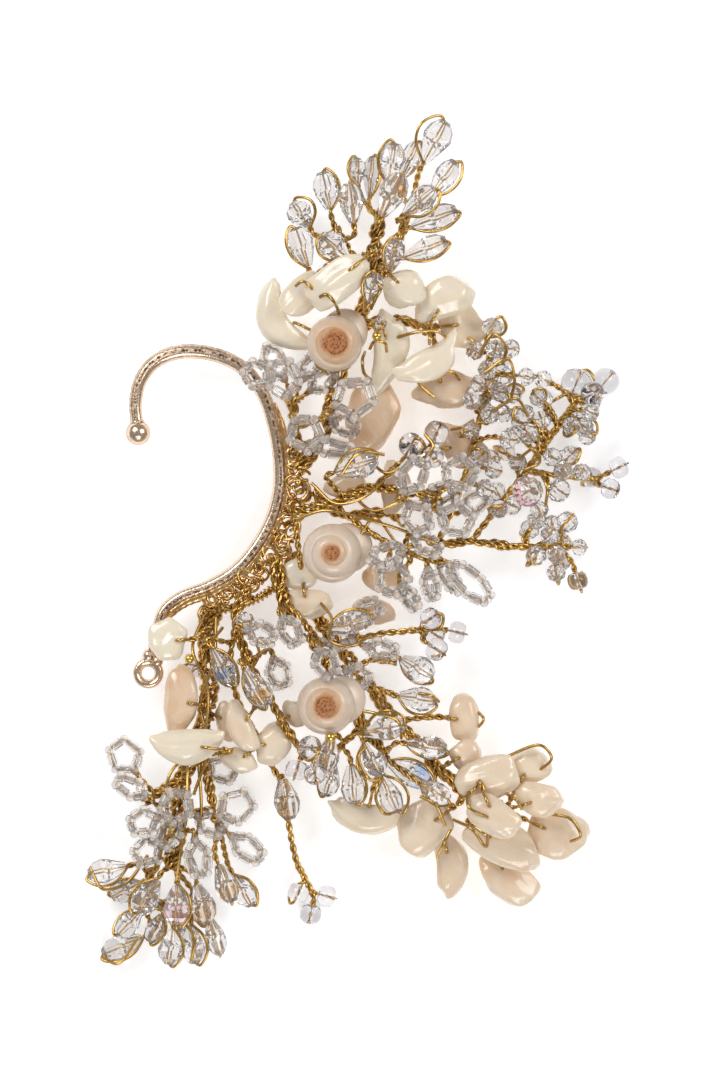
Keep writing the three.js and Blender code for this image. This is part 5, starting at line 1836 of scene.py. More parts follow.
@dataclass
class Hook:
    """The cast hook: a hammered bar with a ball tip, a flange, a lace of rings and a ring at its end."""

    node: str = "ear_hook"
    tip_ball: float = 4.1
    flange_wide: float = 1.5
    flange_thick: float = 0.9
    flange_from: float = 0.4
    flange_to: float = 0.93
    ring_outer: float = 5.1
    ring_hole: float = 2.1
    ring_thick: float = 1.7
    knuckle: float = 2.1
    steps: int = 240
    sides: int = 32
    flange_steps: int = 150
    flange_sides: int = 12
    ball_rows: int = 14
    ball_sides: int = 24
    ring_sides: int = 40
    collar: float = 1.02
    collar_wire: float = 0.26
    granules: int = 34
    granule_step: float = 0.0102
    granule_out: float = 2.2

    def build(self) -> None:
        """Makes every piece of the hook."""
        self.bar()
        self.flange()
        self.tip()
        self.end_ring()
        self.lace()

    def thickness(self, share: float) -> float:
        """The bar's radius at a share of its length.

        Args:
            share: Where, from 0 to 1.

        Returns:
            The radius.
        """
        sections = [thick for _, _, thick in HOOK_SECTIONS]
        spot = HOOK_LINE.share_at(share) * (len(sections) - 1)
        return float(np.interp(spot, range(len(sections)), sections)) * BAR_THICK / 2

    def bar(self) -> None:
        """The bar: smooth inside, struck with grain along its outer shoulder."""
        line = np.array([HOOK_LINE.at(i / self.steps) for i in range(self.steps + 1)])
        struck = []

        def radius(share: float, angle: float) -> float:
            """The radius of the bar, noting how struck the place is.

            Args:
                share: Where along the bar.
                angle: Where round it.

            Returns:
                The radius.
            """
            turn = math.atan2(math.sin(angle), math.cos(angle))
            groove = math.exp(-(((turn + 0.12) / 0.2) ** 2))
            shoulder = 1.0 / (1.0 + math.exp((turn + 0.25) * 7.0)) * (1.0 if abs(turn) < 2.4 else 0.0)
            dents = noise.noise(Vector((share * 190.0, turn * 2.4, 0.0)))
            struck.append(groove * 1.6 + shoulder * 0.45)
            return self.thickness(share) * (1.0 - 0.1 * groove + 0.07 * shoulder * dents)

        piece = sweep(line, radius, self.sides).piece("hook_bar", CAST_GILT.material())
        mark(piece, "grain", struck)
        keep(piece, Slot.CAST, self.node)

    def flange(self) -> None:
        """The thin rim outside the bar that the lace stands on."""
        shares = np.linspace(self.flange_from, self.flange_to, self.flange_steps)
        line = np.array([outside(share, BAR_THICK * 0.5) for share in shares])

        def radius(share: float, angle: float) -> float:
            """The radius of the rim, narrow at both ends.

            Args:
                share: Where along the rim.
                angle: Where round it.

            Returns:
                The radius.
            """
            ends = min(1.0, share / 0.08, (1.0 - share) / 0.06)
            ripple = 1.0 + 0.05 * math.sin(share * 210.0)
            return self.flange_wide / 2 * (0.25 + 0.75 * ends) * ripple

        flat = self.flange_thick / self.flange_wide
        rim = sweep(line, radius, self.flange_sides, flat)
        keep(rim.piece("hook_flange", LACE_GILT.material()), Slot.CAST, self.node)

    def tip(self) -> None:
        """The ball on the hook's upper end, with a small collar."""
        end = HOOK_LINE.at(0.0)
        outward = -HOOK_LINE.heading(0.0)
        half = self.tip_ball / 2
        outline = []
        for i in range(self.ball_rows):
            angle = math.pi * (i + 0.4) / (self.ball_rows - 0.2)
            outline.append((half * math.sin(angle), -half * math.cos(angle)))
        ball = moved(lathe(outline, self.ball_sides), end + outward * half * 0.64, outward)
        collar = ring_body(circle(self.collar, self.collar_wire, 8), self.ball_sides)
        collar = moved(collar, end - outward * 0.5, outward)
        keep(ball.joined(collar).piece("hook_ball", CAST_GILT.material()), Slot.CAST, self.node)

    def end_ring(self) -> None:
        """The ring at the lower end with its two knuckles."""
        end = HOOK_LINE.at(1.0)
        down = HOOK_LINE.heading(1.0)
        centre = end + down * self.ring_outer * 0.5
        outer, inner, half = self.ring_outer / 2, self.ring_hole / 2, self.ring_thick / 2
        outline = [
            (inner, half * 0.2), (inner, -half * 0.2), (inner + 0.35, -half * 0.7), (inner + 0.75, -half),
            (outer - 0.4, -half), (outer - 0.1, -half * 0.7), (outer, 0.0), (outer - 0.1, half * 0.7),
            (outer - 0.4, half), (inner + 0.75, half), (inner + 0.35, half * 0.7),
        ]
        shape = moved(ring_body(outline, self.ring_sides), centre)
        side = np.array((down[1], -down[0], 0.0))
        knob = lathe([(0.25, -0.5), (0.42, -0.25), (0.5, 0.0), (0.42, 0.25), (0.25, 0.5)], 14)
        knob = Shape(knob.corners * self.knuckle, knob.faces)
        for out, along in ((0.55, -0.3), (-1.05, 0.35)):
            shape = shape.joined(moved(knob, end + side * out + down * along, np.array((0.0, 1.0, 0.0))))
        keep(shape.piece("hook_end_ring", CAST_GILT.material()), Slot.CAST, self.node)

    def lace(self) -> None:
        """The rings and granules outside the flange."""
        shape = None
        for ring in LACE_RINGS:
            body = ring_body(circle(ring.ring / 2, LACE_WIRE * 0.5, 10), 28 if ring.ring > 3 else 20)
            placed = moved(body, outside(ring.along, ring.out))
            shape = placed if shape is None else shape.joined(placed)
        keep(shape.piece("hook_lace_rings", LACE_GILT.material()), Slot.CAST, self.node)
        balls = [Setting(np.array(place), direction(0.0), size, size) for *place, size in GOLD_BALLS]
        keep(set_stones("gold_balls", Cut.BALL, balls, BALL_GILT), Slot.WIRE)
        settings = []
        for i in range(self.granules):
            out = self.granule_out + 0.9 * math.sin(i * 2.4)
            place = outside(LACE_FROM + self.granule_step * i, out, 0.25 * math.cos(i * 1.7))
            size = 0.95 + 0.3 * math.sin(i * 1.3)
            settings.append(Setting(place, UP, size, size))
        keep(set_stones("hook_granules", Cut.BALL, settings, LACE_GILT), Slot.CAST, self.node)


@dataclass
class LaceBinding:
    """The wire wound along the lower lace, and the loops that tie the sprays to it."""

    node: str = "binding_wire"
    coil_reach: float = 0.62
    coil_wire: float = 0.5
    coil_turn: float = 0.78
    coil_from: float = 0.685
    coil_step: float = 0.0185
    coil_out: float = 7.5
    coil_draw: float = 0.48
    loops: int = 32
    loops_from: float = 0.495
    loops_span: float = 0.34

    def build(self) -> None:
        """Makes the coil, its core and the ties."""
        line = np.array([
            outside(self.coil_from + self.coil_step * i, self.coil_out - self.coil_draw * i)
            for i in range(9)
        ])
        coil = Lay(1, self.coil_wire, self.coil_reach, self.coil_turn, 0.16)
        core = Lay(3, 0.45, 0.26, 3.0, 0.3)
        keep_wires("binding_coil", [smooth(line, 6)], coil, self.node)
        keep_wires("binding_core", [smooth(line, 6)], core, self.node)
        keep_wires("lace_ties", self.ties(), SINGLE_LAY, self.node)

    def ties(self) -> list[Line]:
        """Loops of wire through the lace, each turned another way.

        Returns:
            The loops.
        """
        lines = []
        for i in range(self.loops):
            along = self.loops_from + self.loops_span * i / self.loops
            centre = outside(along, 3.2 + 1.1 * math.sin(i * 2.1), 0.3 * math.cos(i * 1.3))
            lean = direction(i * 77.0, 35.0 * math.sin(i * 1.9))
            across = unit(np.cross(lean, np.array((0.3, 0.2, 1.0))))
            reach = 1.2 + 0.45 * math.sin(i * 3.1)
            angles = np.linspace(0, 1.7 * math.pi + 0.5 * math.sin(i), 14)
            lines.append(np.array([
                centre + lean * reach * math.cos(a) + across * reach * 0.8 * math.sin(a) + (0, 0, 0.1 * a)
                for a in angles
            ]))
        return lines


@dataclass
class TurbanShell:
    """A turban shell seen on its point: a low spire on a round body whorl, with a flared lip."""

    plan: Turban
    growth: float = 2.0
    skirt_rows: int = 11
    skirt_step: float = 0.13
    skirt_deep: float = 0.45
    lip_rows: int = 12
    lip_sides: int = 28
    rows_of: int = 40
    sides: int = 64
    lip_reach: float = 1.42
    lip_wide: float = 0.86

    def build(self) -> None:
        """Makes the shell."""
        shape = self.dome().joined(self.lip())
        piece = shape.piece(f"{self.plan.node}_turban", SHELL_SKIN.material())
        away = shape.corners - self.plan.centre
        share = np.hypot(away[:, 0], away[:, 1]) / self.radius
        mark(piece, "apex", np.where(away[:, 2] > 0, share * 0.5 / self.plan.apex, 1.5))
        keep(piece, Slot.SHELL, self.plan.node)

    @property
    def radius(self) -> float:
        """Half the width of the widest whorl."""
        return SHELL_DIAMETER * self.plan.size / 2

    @property
    def height(self) -> float:
        """From the mouth to the point."""
        return SHELL_HEIGHT * self.plan.size

    def dome(self) -> Shape:
        """The body whorl and the spire on it, with a groove that winds in to the point.

        Returns:
            The dome, drawn in below its widest place.
        """
        angles = [math.tau * k / self.sides for k in range(self.sides)]
        levels = []
        for share in np.linspace(0.02, 1.0, self.rows_of):
            levels.append((share, [self.level(share, angle) for angle in angles]))
        for i in range(1, self.skirt_rows + 1):
            lean = self.skirt_step * i
            levels.append((math.cos(lean), [-self.skirt_deep * math.sin(lean)] * self.sides))
        rings = []
        for share, heights in levels:
            flat = self.radius * share
            rings.append(np.array([
                (flat * math.cos(angle), flat * math.sin(angle), height * self.height)
                for angle, height in zip(angles, heights)
            ]))
        return moved(stack(rings[::-1]), self.plan.centre)

    def level(self, share: float, angle: float) -> float:
        """Height over the widest place, as a share of the shell's height, at a share of its radius.

        Args:
            share: Of the widest radius.
            angle: Radians from X.

        Returns:
            The share of the height.
        """
        turn = math.log(max(share, 0.02)) / math.log(self.growth)
        phase = (turn - (angle - math.radians(self.plan.lip)) / math.tau) % 1.0
        groove = math.exp(-((min(phase, 1.0 - phase) / 0.09) ** 2))
        bulge = math.sin(math.pi * phase)
        dome = 0.46 * math.sqrt(max(0.0, 1.0 - share**2.2)) + 0.06 * (1.0 - share) ** 2
        fade = min(1.0, 3.0 * (1.0 - share))
        return dome + fade * (0.04 * bulge - 0.075 * groove) * (0.35 + 0.65 * share)

    def lip(self) -> Shape:
        """The flared edge of the mouth, thin at its rim.

        Returns:
            The lip.
        """
        turn = Matrix.Rotation(math.radians(self.plan.lip), 3, "Z")
        half = self.lip_reach - 0.5
        rings = []
        for i in range(self.lip_rows):
            lean = math.pi * (i + 0.3) / (self.lip_rows - 0.4)
            ring = []
            for k in range(self.lip_sides):
                around = math.tau * k / self.lip_sides
                x = math.sin(lean) * math.cos(around)
                y = math.sin(lean) * math.sin(around)
                z = -math.cos(lean) * 0.22 - 0.12 * max(0.0, x)
                wide = self.radius * self.lip_wide * y
                ring.append(np.array(turn @ Vector((self.radius * (0.5 + half * x), wide, self.height * z))))
            rings.append(np.array(ring) + (0.0, 0.0, -self.height * 0.1))
        return moved(stack(rings), self.plan.centre)


@dataclass
class NacreChip:
    """One polished chip; its name picks its look, and the finest ones stand for no node."""

    plan: Chip
    key: str
    seed: int
    stands_for: str | None = None
    rows_of: int = 34
    sides: int = 44
    ground_places: int = 5
    lumps: float = 0.16
    dimples: float = 0.03
    blunt: tuple[float, float, float] = (0.86, 0.94, 0.84)

    @property
    def look(self) -> ChipLook:
        """How this chip looks."""
        return CHIP_LOOKS.get(self.key, ChipLook())

    def build(self) -> None:
        """Makes the chip."""
        piece = self.shape().piece(f"{self.key}_chip", NACRE.material())
        mark(piece, "warm", [self.look.warm] * len(piece.data.vertices))
        keep(piece, Slot.NACRE, *([self.stands_for] if self.stands_for else []))

    def facets(self) -> list[tuple[np.ndarray, float]]:
        """Flat places ground on the chip: a direction and a distance from its middle each.

        Returns:
            The ground places.
        """
        found = []
        for i in range(self.ground_places):
            angle = 2.4 * i + 1.7 * self.seed
            rise = 0.55 * math.sin(1.3 * i + self.seed)
            normal = unit(np.array((math.cos(angle), math.sin(angle), rise)))
            found.append((normal, 0.84 + 0.1 * math.sin(2.9 * i + self.seed)))
        return found

    def horned(self, x: float, y: float) -> float:
        """How far the outline is pushed out at a place in the chip's plane, as a factor.

        Args:
            x: Lengthwise place.
            y: Sideways place.

        Returns:
            The factor.
        """
        angle = math.degrees(math.atan2(y, x))
        share = math.hypot(x, y)
        factor = 1.0
        for heading, reach, width in self.look.horns:
            off = (angle - heading + 180.0) % 360.0 - 180.0
            factor += reach * share**2 * math.exp(-((off / width) ** 2))
        return factor

    def folded(self, x: float, y: float) -> float:
        """How much lower the upper side lies beyond the fold, as a factor.

        Args:
            x: Lengthwise place.
            y: Sideways place.

        Returns:
            The factor.
        """
        if self.look.fold is None:
            return 1.0
        heading, offset, depth = self.look.fold
        across = x * math.cos(math.radians(heading)) + y * math.sin(math.radians(heading)) - offset
        wave = across + 0.12 * math.sin(4.0 * (x - y) + self.seed)
        return 1.0 - depth / (1.0 + math.exp(-wave * 16.0)) + 0.3 * depth * math.exp(-((wave / 0.16) ** 2))

    def shape(self) -> Shape:
        """A pebble that is stretched, tapered and bent like a bean, with a few ground places.

        Returns:
            The chip as it lies in the cuff.
        """
        plan, look = self.plan, self.look
        plan = replace(
            plan, x=plan.x + look.shift[0], y=plan.y + look.shift[1], turn=plan.turn + look.turn,
            length=plan.length * look.swell, width=plan.width * look.swell, bend=plan.bend + look.bow,
        )
        facets = self.facets()
        offset = Vector((self.seed * 3.7, self.seed * 1.9, self.seed * 0.7))
        rings = []
        for i in range(self.rows_of):
            lean = math.pi * (i + 0.35) / (self.rows_of - 0.3)
            ring = []
            for k in range(self.sides):
                around = math.tau * k / self.sides
                thin = math.sin(lean)
                spot = np.array((-math.cos(lean), thin * math.cos(around), thin * math.sin(around)))
                swell = 1.0 + self.lumps * noise.noise(Vector(spot) * 1.3 + offset)
                swell += self.dimples * noise.noise(Vector(spot) * 4.0 + offset)
                body = np.copysign(np.abs(spot) ** self.blunt, spot) * swell
                for normal, far in facets:
                    over = float(np.dot(body, normal)) - far
                    if over > 0:
                        body = body - normal * over * 0.5
                x, y, z = body
                push = self.horned(x, y)
                x, y, z = x * push, y * push, z * self.folded(x, y) / push**0.5
                y *= 1.0 + plan.taper * x
                z *= 1.0 + 0.5 * plan.taper * x
                bow = plan.bend * (x * x - 0.4) * plan.length * 0.5
                place = (x * plan.length / 2, y * plan.width / 2 + bow, z * plan.thick / 2)
                ring.append(plan.laid(place))
            rings.append(np.array(ring))
        return stack(rings)


@dataclass(frozen=True)
class Fork:
    """Where a stem leaves a branch, and a place further back on the branch."""

    point: np.ndarray
    behind: np.ndarray


@dataclass
class Spray:
    """One wired spray: twisted branches and stems, stones with their return wires, bead petals and chips."""

    plan: Plan
    stem_back: float = 2.6
    petal_bead: float = 1.6
    bugle_width: float = 1.8
    bugle_length: float = 2.6
    trunk_turn: float = 15.0
    branch_turn: float = 11.0
    loop_sides: tuple[float, ...] = (0.6, -0.58, -0.3)
    loop_leans: tuple[float, ...] = (20.0, -35.0, -80.0)
    drawn_lean: float = 25.0
    stems: list[Line] = field(default_factory=list)
    singles: list[Line] = field(default_factory=list)
    threads: list[Line] = field(default_factory=list)

    def __post_init__(self) -> None:
        """Lays out the branches."""
        root = root_of(self.plan.key)
        trunk, *others = self.plan.branches
        self.lines = [smooth(points, 8) for points in ([root, *trunk], *others)]

    def build(self) -> None:
        """Makes every piece of the spray."""
        plan = self.plan
        self.cut_drops()
        self.beads("rondelles", Cut.RONDELLE, [*plan.rondelles, *plan.extra_rondelles], 0.6, CUT_GLASS)
        self.beads("round_beads", Cut.ROUND, plan.rounds, 0.58, BEAD_GLASS)
        self.bead_petals()
        self.nacre()
        self.wires()

    def stones(self, name: str, cut: Cut, settings: Sequence[Setting], finish: Glass | Gilt) -> None:
        """Stones of one form as a piece of the spray, where there are any.

        Args:
            name: The end of the piece's name.
            cut: Their form.
            settings: Where they go.
            finish: Their glass or metal.
        """
        if settings:
            slot = Slot.BEAD if self.plan.key in ("shoulder", "middle") else Slot.CRYSTAL
            keep(set_stones(f"{self.plan.key}_{name}", cut, settings, finish), slot, self.plan.node)

    def fork(self, place: np.ndarray, lead: float) -> Fork:
        """The nearest place of the branches, moved back along its branch.

        Args:
            place: Where the stem leads.
            lead: How far to go back.

        Returns:
            The fork.
        """
        best = (math.inf, self.lines[0], 0)
        for line in self.lines:
            far = np.linalg.norm(line - place, axis=1)
            i = int(np.argmin(far))
            if far[i] < best[0]:
                best = (float(far[i]), line, i)
        _, line, i = best
        walked = 0.0
        while i > 0 and walked < lead:
            walked += float(np.linalg.norm(line[i] - line[i - 1]))
            i -= 1
        point, back = line[i], i
        while back > 0 and np.linalg.norm(line[back] - point) < self.stem_back:
            back -= 1
        return Fork(point, line[back])

    def stem(self, place: np.ndarray, axis: np.ndarray, lead: float) -> None:
        """A twisted stem from the nearest branch to a place, which it reaches along an axis.

        Args:
            place: Its end.
            axis: The direction at its end.
            lead: How far back it forks.
        """
        start = self.fork(place, lead)
        far = float(np.linalg.norm(place - start.point))
        knots = [start.point, place - axis * min(1.6, far * 0.35), place]
        if np.linalg.norm(start.behind - start.point) > 0.5:
            knots.insert(0, start.behind)
        if far > 0.6:
            self.stems.append(smooth(knots, 6))

    def return_loop(self, base: np.ndarray, tip: np.ndarray, reach: np.ndarray) -> None:
        """A wire through a stone from base to tip and back outside it, which bulges by a reach.

        Args:
            base: Where the wire enters.
            tip: Where it leaves.
            reach: How it bulges at its widest.
        """
        axis = unit(tip - base)
        length = float(np.linalg.norm(tip - base))
        side = unit(reach)
        turn_out = tip + axis * 0.42 + side * np.linalg.norm(reach) * 0.35
        knots = [
            tip - axis * 0.2, turn_out, base + axis * length * 0.72 + reach,
            base + axis * length * 0.3 + reach * 0.86, base - axis * 0.35,
        ]
        self.threads.append(np.array([base - axis * 0.3, tip]))
        self.singles.append(smooth(knots, 6))

    def cut_drops(self) -> None:
        """The long cut drops, each on a twisted stem with its wire brought back outside."""
        settings = []
        for i, drop in enumerate([*self.plan.drops, *self.plan.extra_drops]):
            base = drop.centre - drop.axis * drop.length / 2
            tip = drop.centre + drop.axis * drop.length / 2
            settings.append(Setting(drop.centre, drop.axis, drop.width, drop.length, 47.0 * i, drop.fire))
            self.stem(base - drop.axis * 0.2, drop.axis, STEM_LEAD)
            across = unit(np.cross(UP, drop.axis))
            loop = drop.loop or self.loop_sides[i % 3]
            lean = math.radians(self.drawn_lean if drop.loop else self.loop_leans[i % 3])
            lifted = across * math.copysign(math.cos(lean), loop) + UP * math.sin(lean)
            self.return_loop(base, tip, lifted * drop.width * max(0.54, 0.86 * abs(loop)))
        self.stones("drops", Cut.DROP, settings, CUT_GLASS)

    def beads(self, name: str, cut: Cut, beads: Sequence[Bead], bulge: float, finish: Glass) -> None:
        """Round beads of one form, with their stems and return wires.

        Args:
            name: The end of the piece's name.
            cut: Their form.
            beads: The beads.
            bulge: How far a return wire stands off, as a share of the bead.
            finish: Their glass.
        """
        settings = []
        for i, bead in enumerate(beads):
            start = self.fork(bead.centre, BEAD_LEAD)
            gap = bead.centre - start.point
            axis = unit(gap) if np.linalg.norm(gap) > 0.2 else direction(61.0 * i, 30.0)
            axis = unit(axis + 0.35 * direction(97.0 * i, 10.0))
            settings.append(Setting(bead.centre, axis, bead.size, bead.size * 0.9, 31.0 * i, bead.fire))
            base = bead.centre - axis * bead.size * 0.45
            self.stem(base, axis, BEAD_LEAD)
            across = turned_about(unit(np.cross(axis, np.array((0.1, 0.2, 1.0)))), axis, 137.5 * i)
            tip = bead.centre + axis * bead.size * 0.5
            if i % 3:
                self.threads.append(np.array([base, tip]))
            else:
                self.return_loop(base, tip, across * bead.size * bulge)
        self.stones(name, cut, settings, finish)

    def bead_petals(self) -> None:
        """Petals: round beads at the corners, straight ones between them, all on one wire."""
        rounds, straights = [], []
        for number, petal in enumerate([*self.plan.petals, *self.plan.extra_petals]):
            corners = [petal.ring(math.tau * k / petal.corners) for k in range(petal.corners)]
            for k, corner in enumerate(corners):
                after = corners[(k + 1) % petal.corners]
                before = corners[k - 1]
                rounds.append(Setting(corner, unit(after - before), self.petal_bead, self.petal_bead * 0.94))
                step = after - corner
                free = float(np.linalg.norm(step)) - self.petal_bead * 0.8
                count = max(1, round(free / self.bugle_length))
                for j in range(count):
                    middle = corner + unit(step) * (self.petal_bead * 0.4 + free * (j + 0.5) / count)
                    spin = 23.0 * (number + k)
                    straights.append(Setting(middle, unit(step), self.bugle_width, free / count * 0.95, spin))
            self.threads.append(np.array([*corners, corners[0]]))
            foot = petal.ring(0.0)
            self.stem(foot, petal.along, STEM_LEAD)
        self.stones("petal_rounds", Cut.SEED, rounds, SEED_GLASS)
        self.stones("petal_bugles", Cut.BUGLE, straights, TUBE_GLASS)
        self.stones("petal_linings", Cut.LINING, straights, CORE_GILT)

    def nacre(self) -> None:
        """The chips, each with its stem and the arc of wire that comes out of its hole."""
        for i, chip in enumerate([*self.plan.chips, *self.plan.extra_chips]):
            name = f"{self.plan.key}_nacre_{i + 1}"
            node = name if i < len(self.plan.chips) else None
            NacreChip(chip, name, 7 * len(self.plan.key) + i, node).build()
            start = self.fork(chip.centre, STEM_LEAD)
            gap = start.point - chip.centre
            gap[2] = 0.0
            inward = unit(gap) if np.linalg.norm(gap) > 0.3 else direction(53.0 * i)
            normal = chip.laid((0.0, 0.0, 1.0)) - chip.centre
            along = abs(np.dot(inward, direction(chip.turn)))
            reach = chip.width * 0.5 + (chip.length - chip.width) * 0.5 * along
            hole = chip.centre + inward * reach * 0.45
            edge = chip.centre + inward * (reach + 0.5)
            thick = normal * chip.thick * 0.5
            knots = [hole - thick * 1.1, hole + thick * 0.9, hole + thick * 1.25 + inward * reach * 0.2,
                     (hole + edge) / 2 + thick * 1.15, edge + thick * 0.5, edge - thick * 0.3]
            self.singles.append(smooth(knots, 6))
            self.stem(edge - thick * 0.3, -inward, STEM_LEAD)

    def wires(self) -> None:
        """The trunk, the branches, the twisted stems and the single wires."""
        key, pairs_of = self.plan.key, TRUNK_PAIRS[self.plan.key]
        trunk = bundle(self.lines[0], pairs_of, 0.34 * pairs_of - 0.2, self.trunk_turn)
        pairs = 2 if key in ("crown", "tail") else 1
        branches = []
        for line in self.lines[1:]:
            branches += bundle(line, pairs, 0.4 * pairs - 0.3, self.branch_turn)
        self.singles += [smooth(arc, 8) for arc in self.plan.arcs]
        for name, lines, lay in (
            ("trunk", trunk, PAIR_LAY), ("branches", branches, PAIR_LAY), ("stems", self.stems, STEM_LAY),
            ("threads", self.threads, THREAD_LAY), ("loops", self.singles, SINGLE_LAY),
        ):
            keep_wires(f"{key}_{name}", lines, lay, self.plan.node)


@dataclass
class Studio:
    """A pale floor, soft lights and the camera straight above."""

    camera_height: float = 1200.0
    middle_level: float = 8.0
    sensor: float = 36.0
    floor_glow: float = 0.42
    floor_reach: float = 3000.0
    floor_dim: Colour = (0.94, 0.94, 0.94)
    floor_pale: Colour = (0.96, 0.96, 0.96)

    def build(self) -> None:
        """Makes the floor, the lights, the world and the camera."""
        self.floor()
        self.lights()
        self.camera()

    def floor(self) -> None:
        """A wide pale floor."""
        material, graph, shader, place = new_surface("PaleFloor")
        soft = graph.clouds(place, 6.0, 2.0)
        graph.feed_all(shader, {
            "Base Color": graph.mixed(soft, opaque(self.floor_dim), opaque(self.floor_pale)),
            "Roughness": 0.7,
            "Emission Color": opaque((1.0, 1.0, 1.0)),
            "Emission Strength": self.floor_glow,
        })
        signs = ((-1, -1), (1, -1), (1, 1), (-1, 1))
        corners = np.array([(x * self.floor_reach, y * self.floor_reach, 0.0) for x, y in signs])
        floor = Shape(corners, [(0, 1, 2, 3)]).piece("floor", material, smoothly=False)

    def lights(self) -> None:
        """A large key light from the upper left, a fill from the right, one from below and a pale world."""
        world = bpy.data.worlds.new("Studio")
        world.use_nodes = True
        background = world.node_tree.nodes["Background"]
        background.inputs["Color"].default_value = (0.95, 0.96, 1.0, 1.0)
        background.inputs["Strength"].default_value = 0.3
        bpy.context.scene.world = world
        bpy.context.scene.view_settings.view_transform = "Standard"
        for name, place, size, power in (
            ("key", (-0.45, 0.45, 0.7), 0.4, 3.4),
            ("fill", (0.55, 0.25, 0.65), 0.4, 2.2),
            ("rim", (0.05, -0.6, 0.6), 0.35, 1.9),
        ):
            light = bpy.data.lights.new(name, "AREA")
            light.size = size
            light.energy = power
            lamp = linked(name, light)
            lamp.location = place
            lamp.rotation_euler = (-Vector(place)).to_track_quat("-Z", "Y").to_euler()

    def camera(self) -> None:
        """The camera over the middle of the picture, looking straight down."""
        data = bpy.data.cameras.new("camera")
        data.sensor_width = self.sensor
        distance = self.camera_height - self.middle_level
        data.lens = self.sensor * distance / (IMAGE_HEIGHT * PIXEL)
        data.clip_start = 0.05
        data.clip_end = 20.0
        camera = linked("camera", data)
        camera.location = (0.0, 0.0, self.camera_height * MM)
        bpy.context.scene.camera = camera


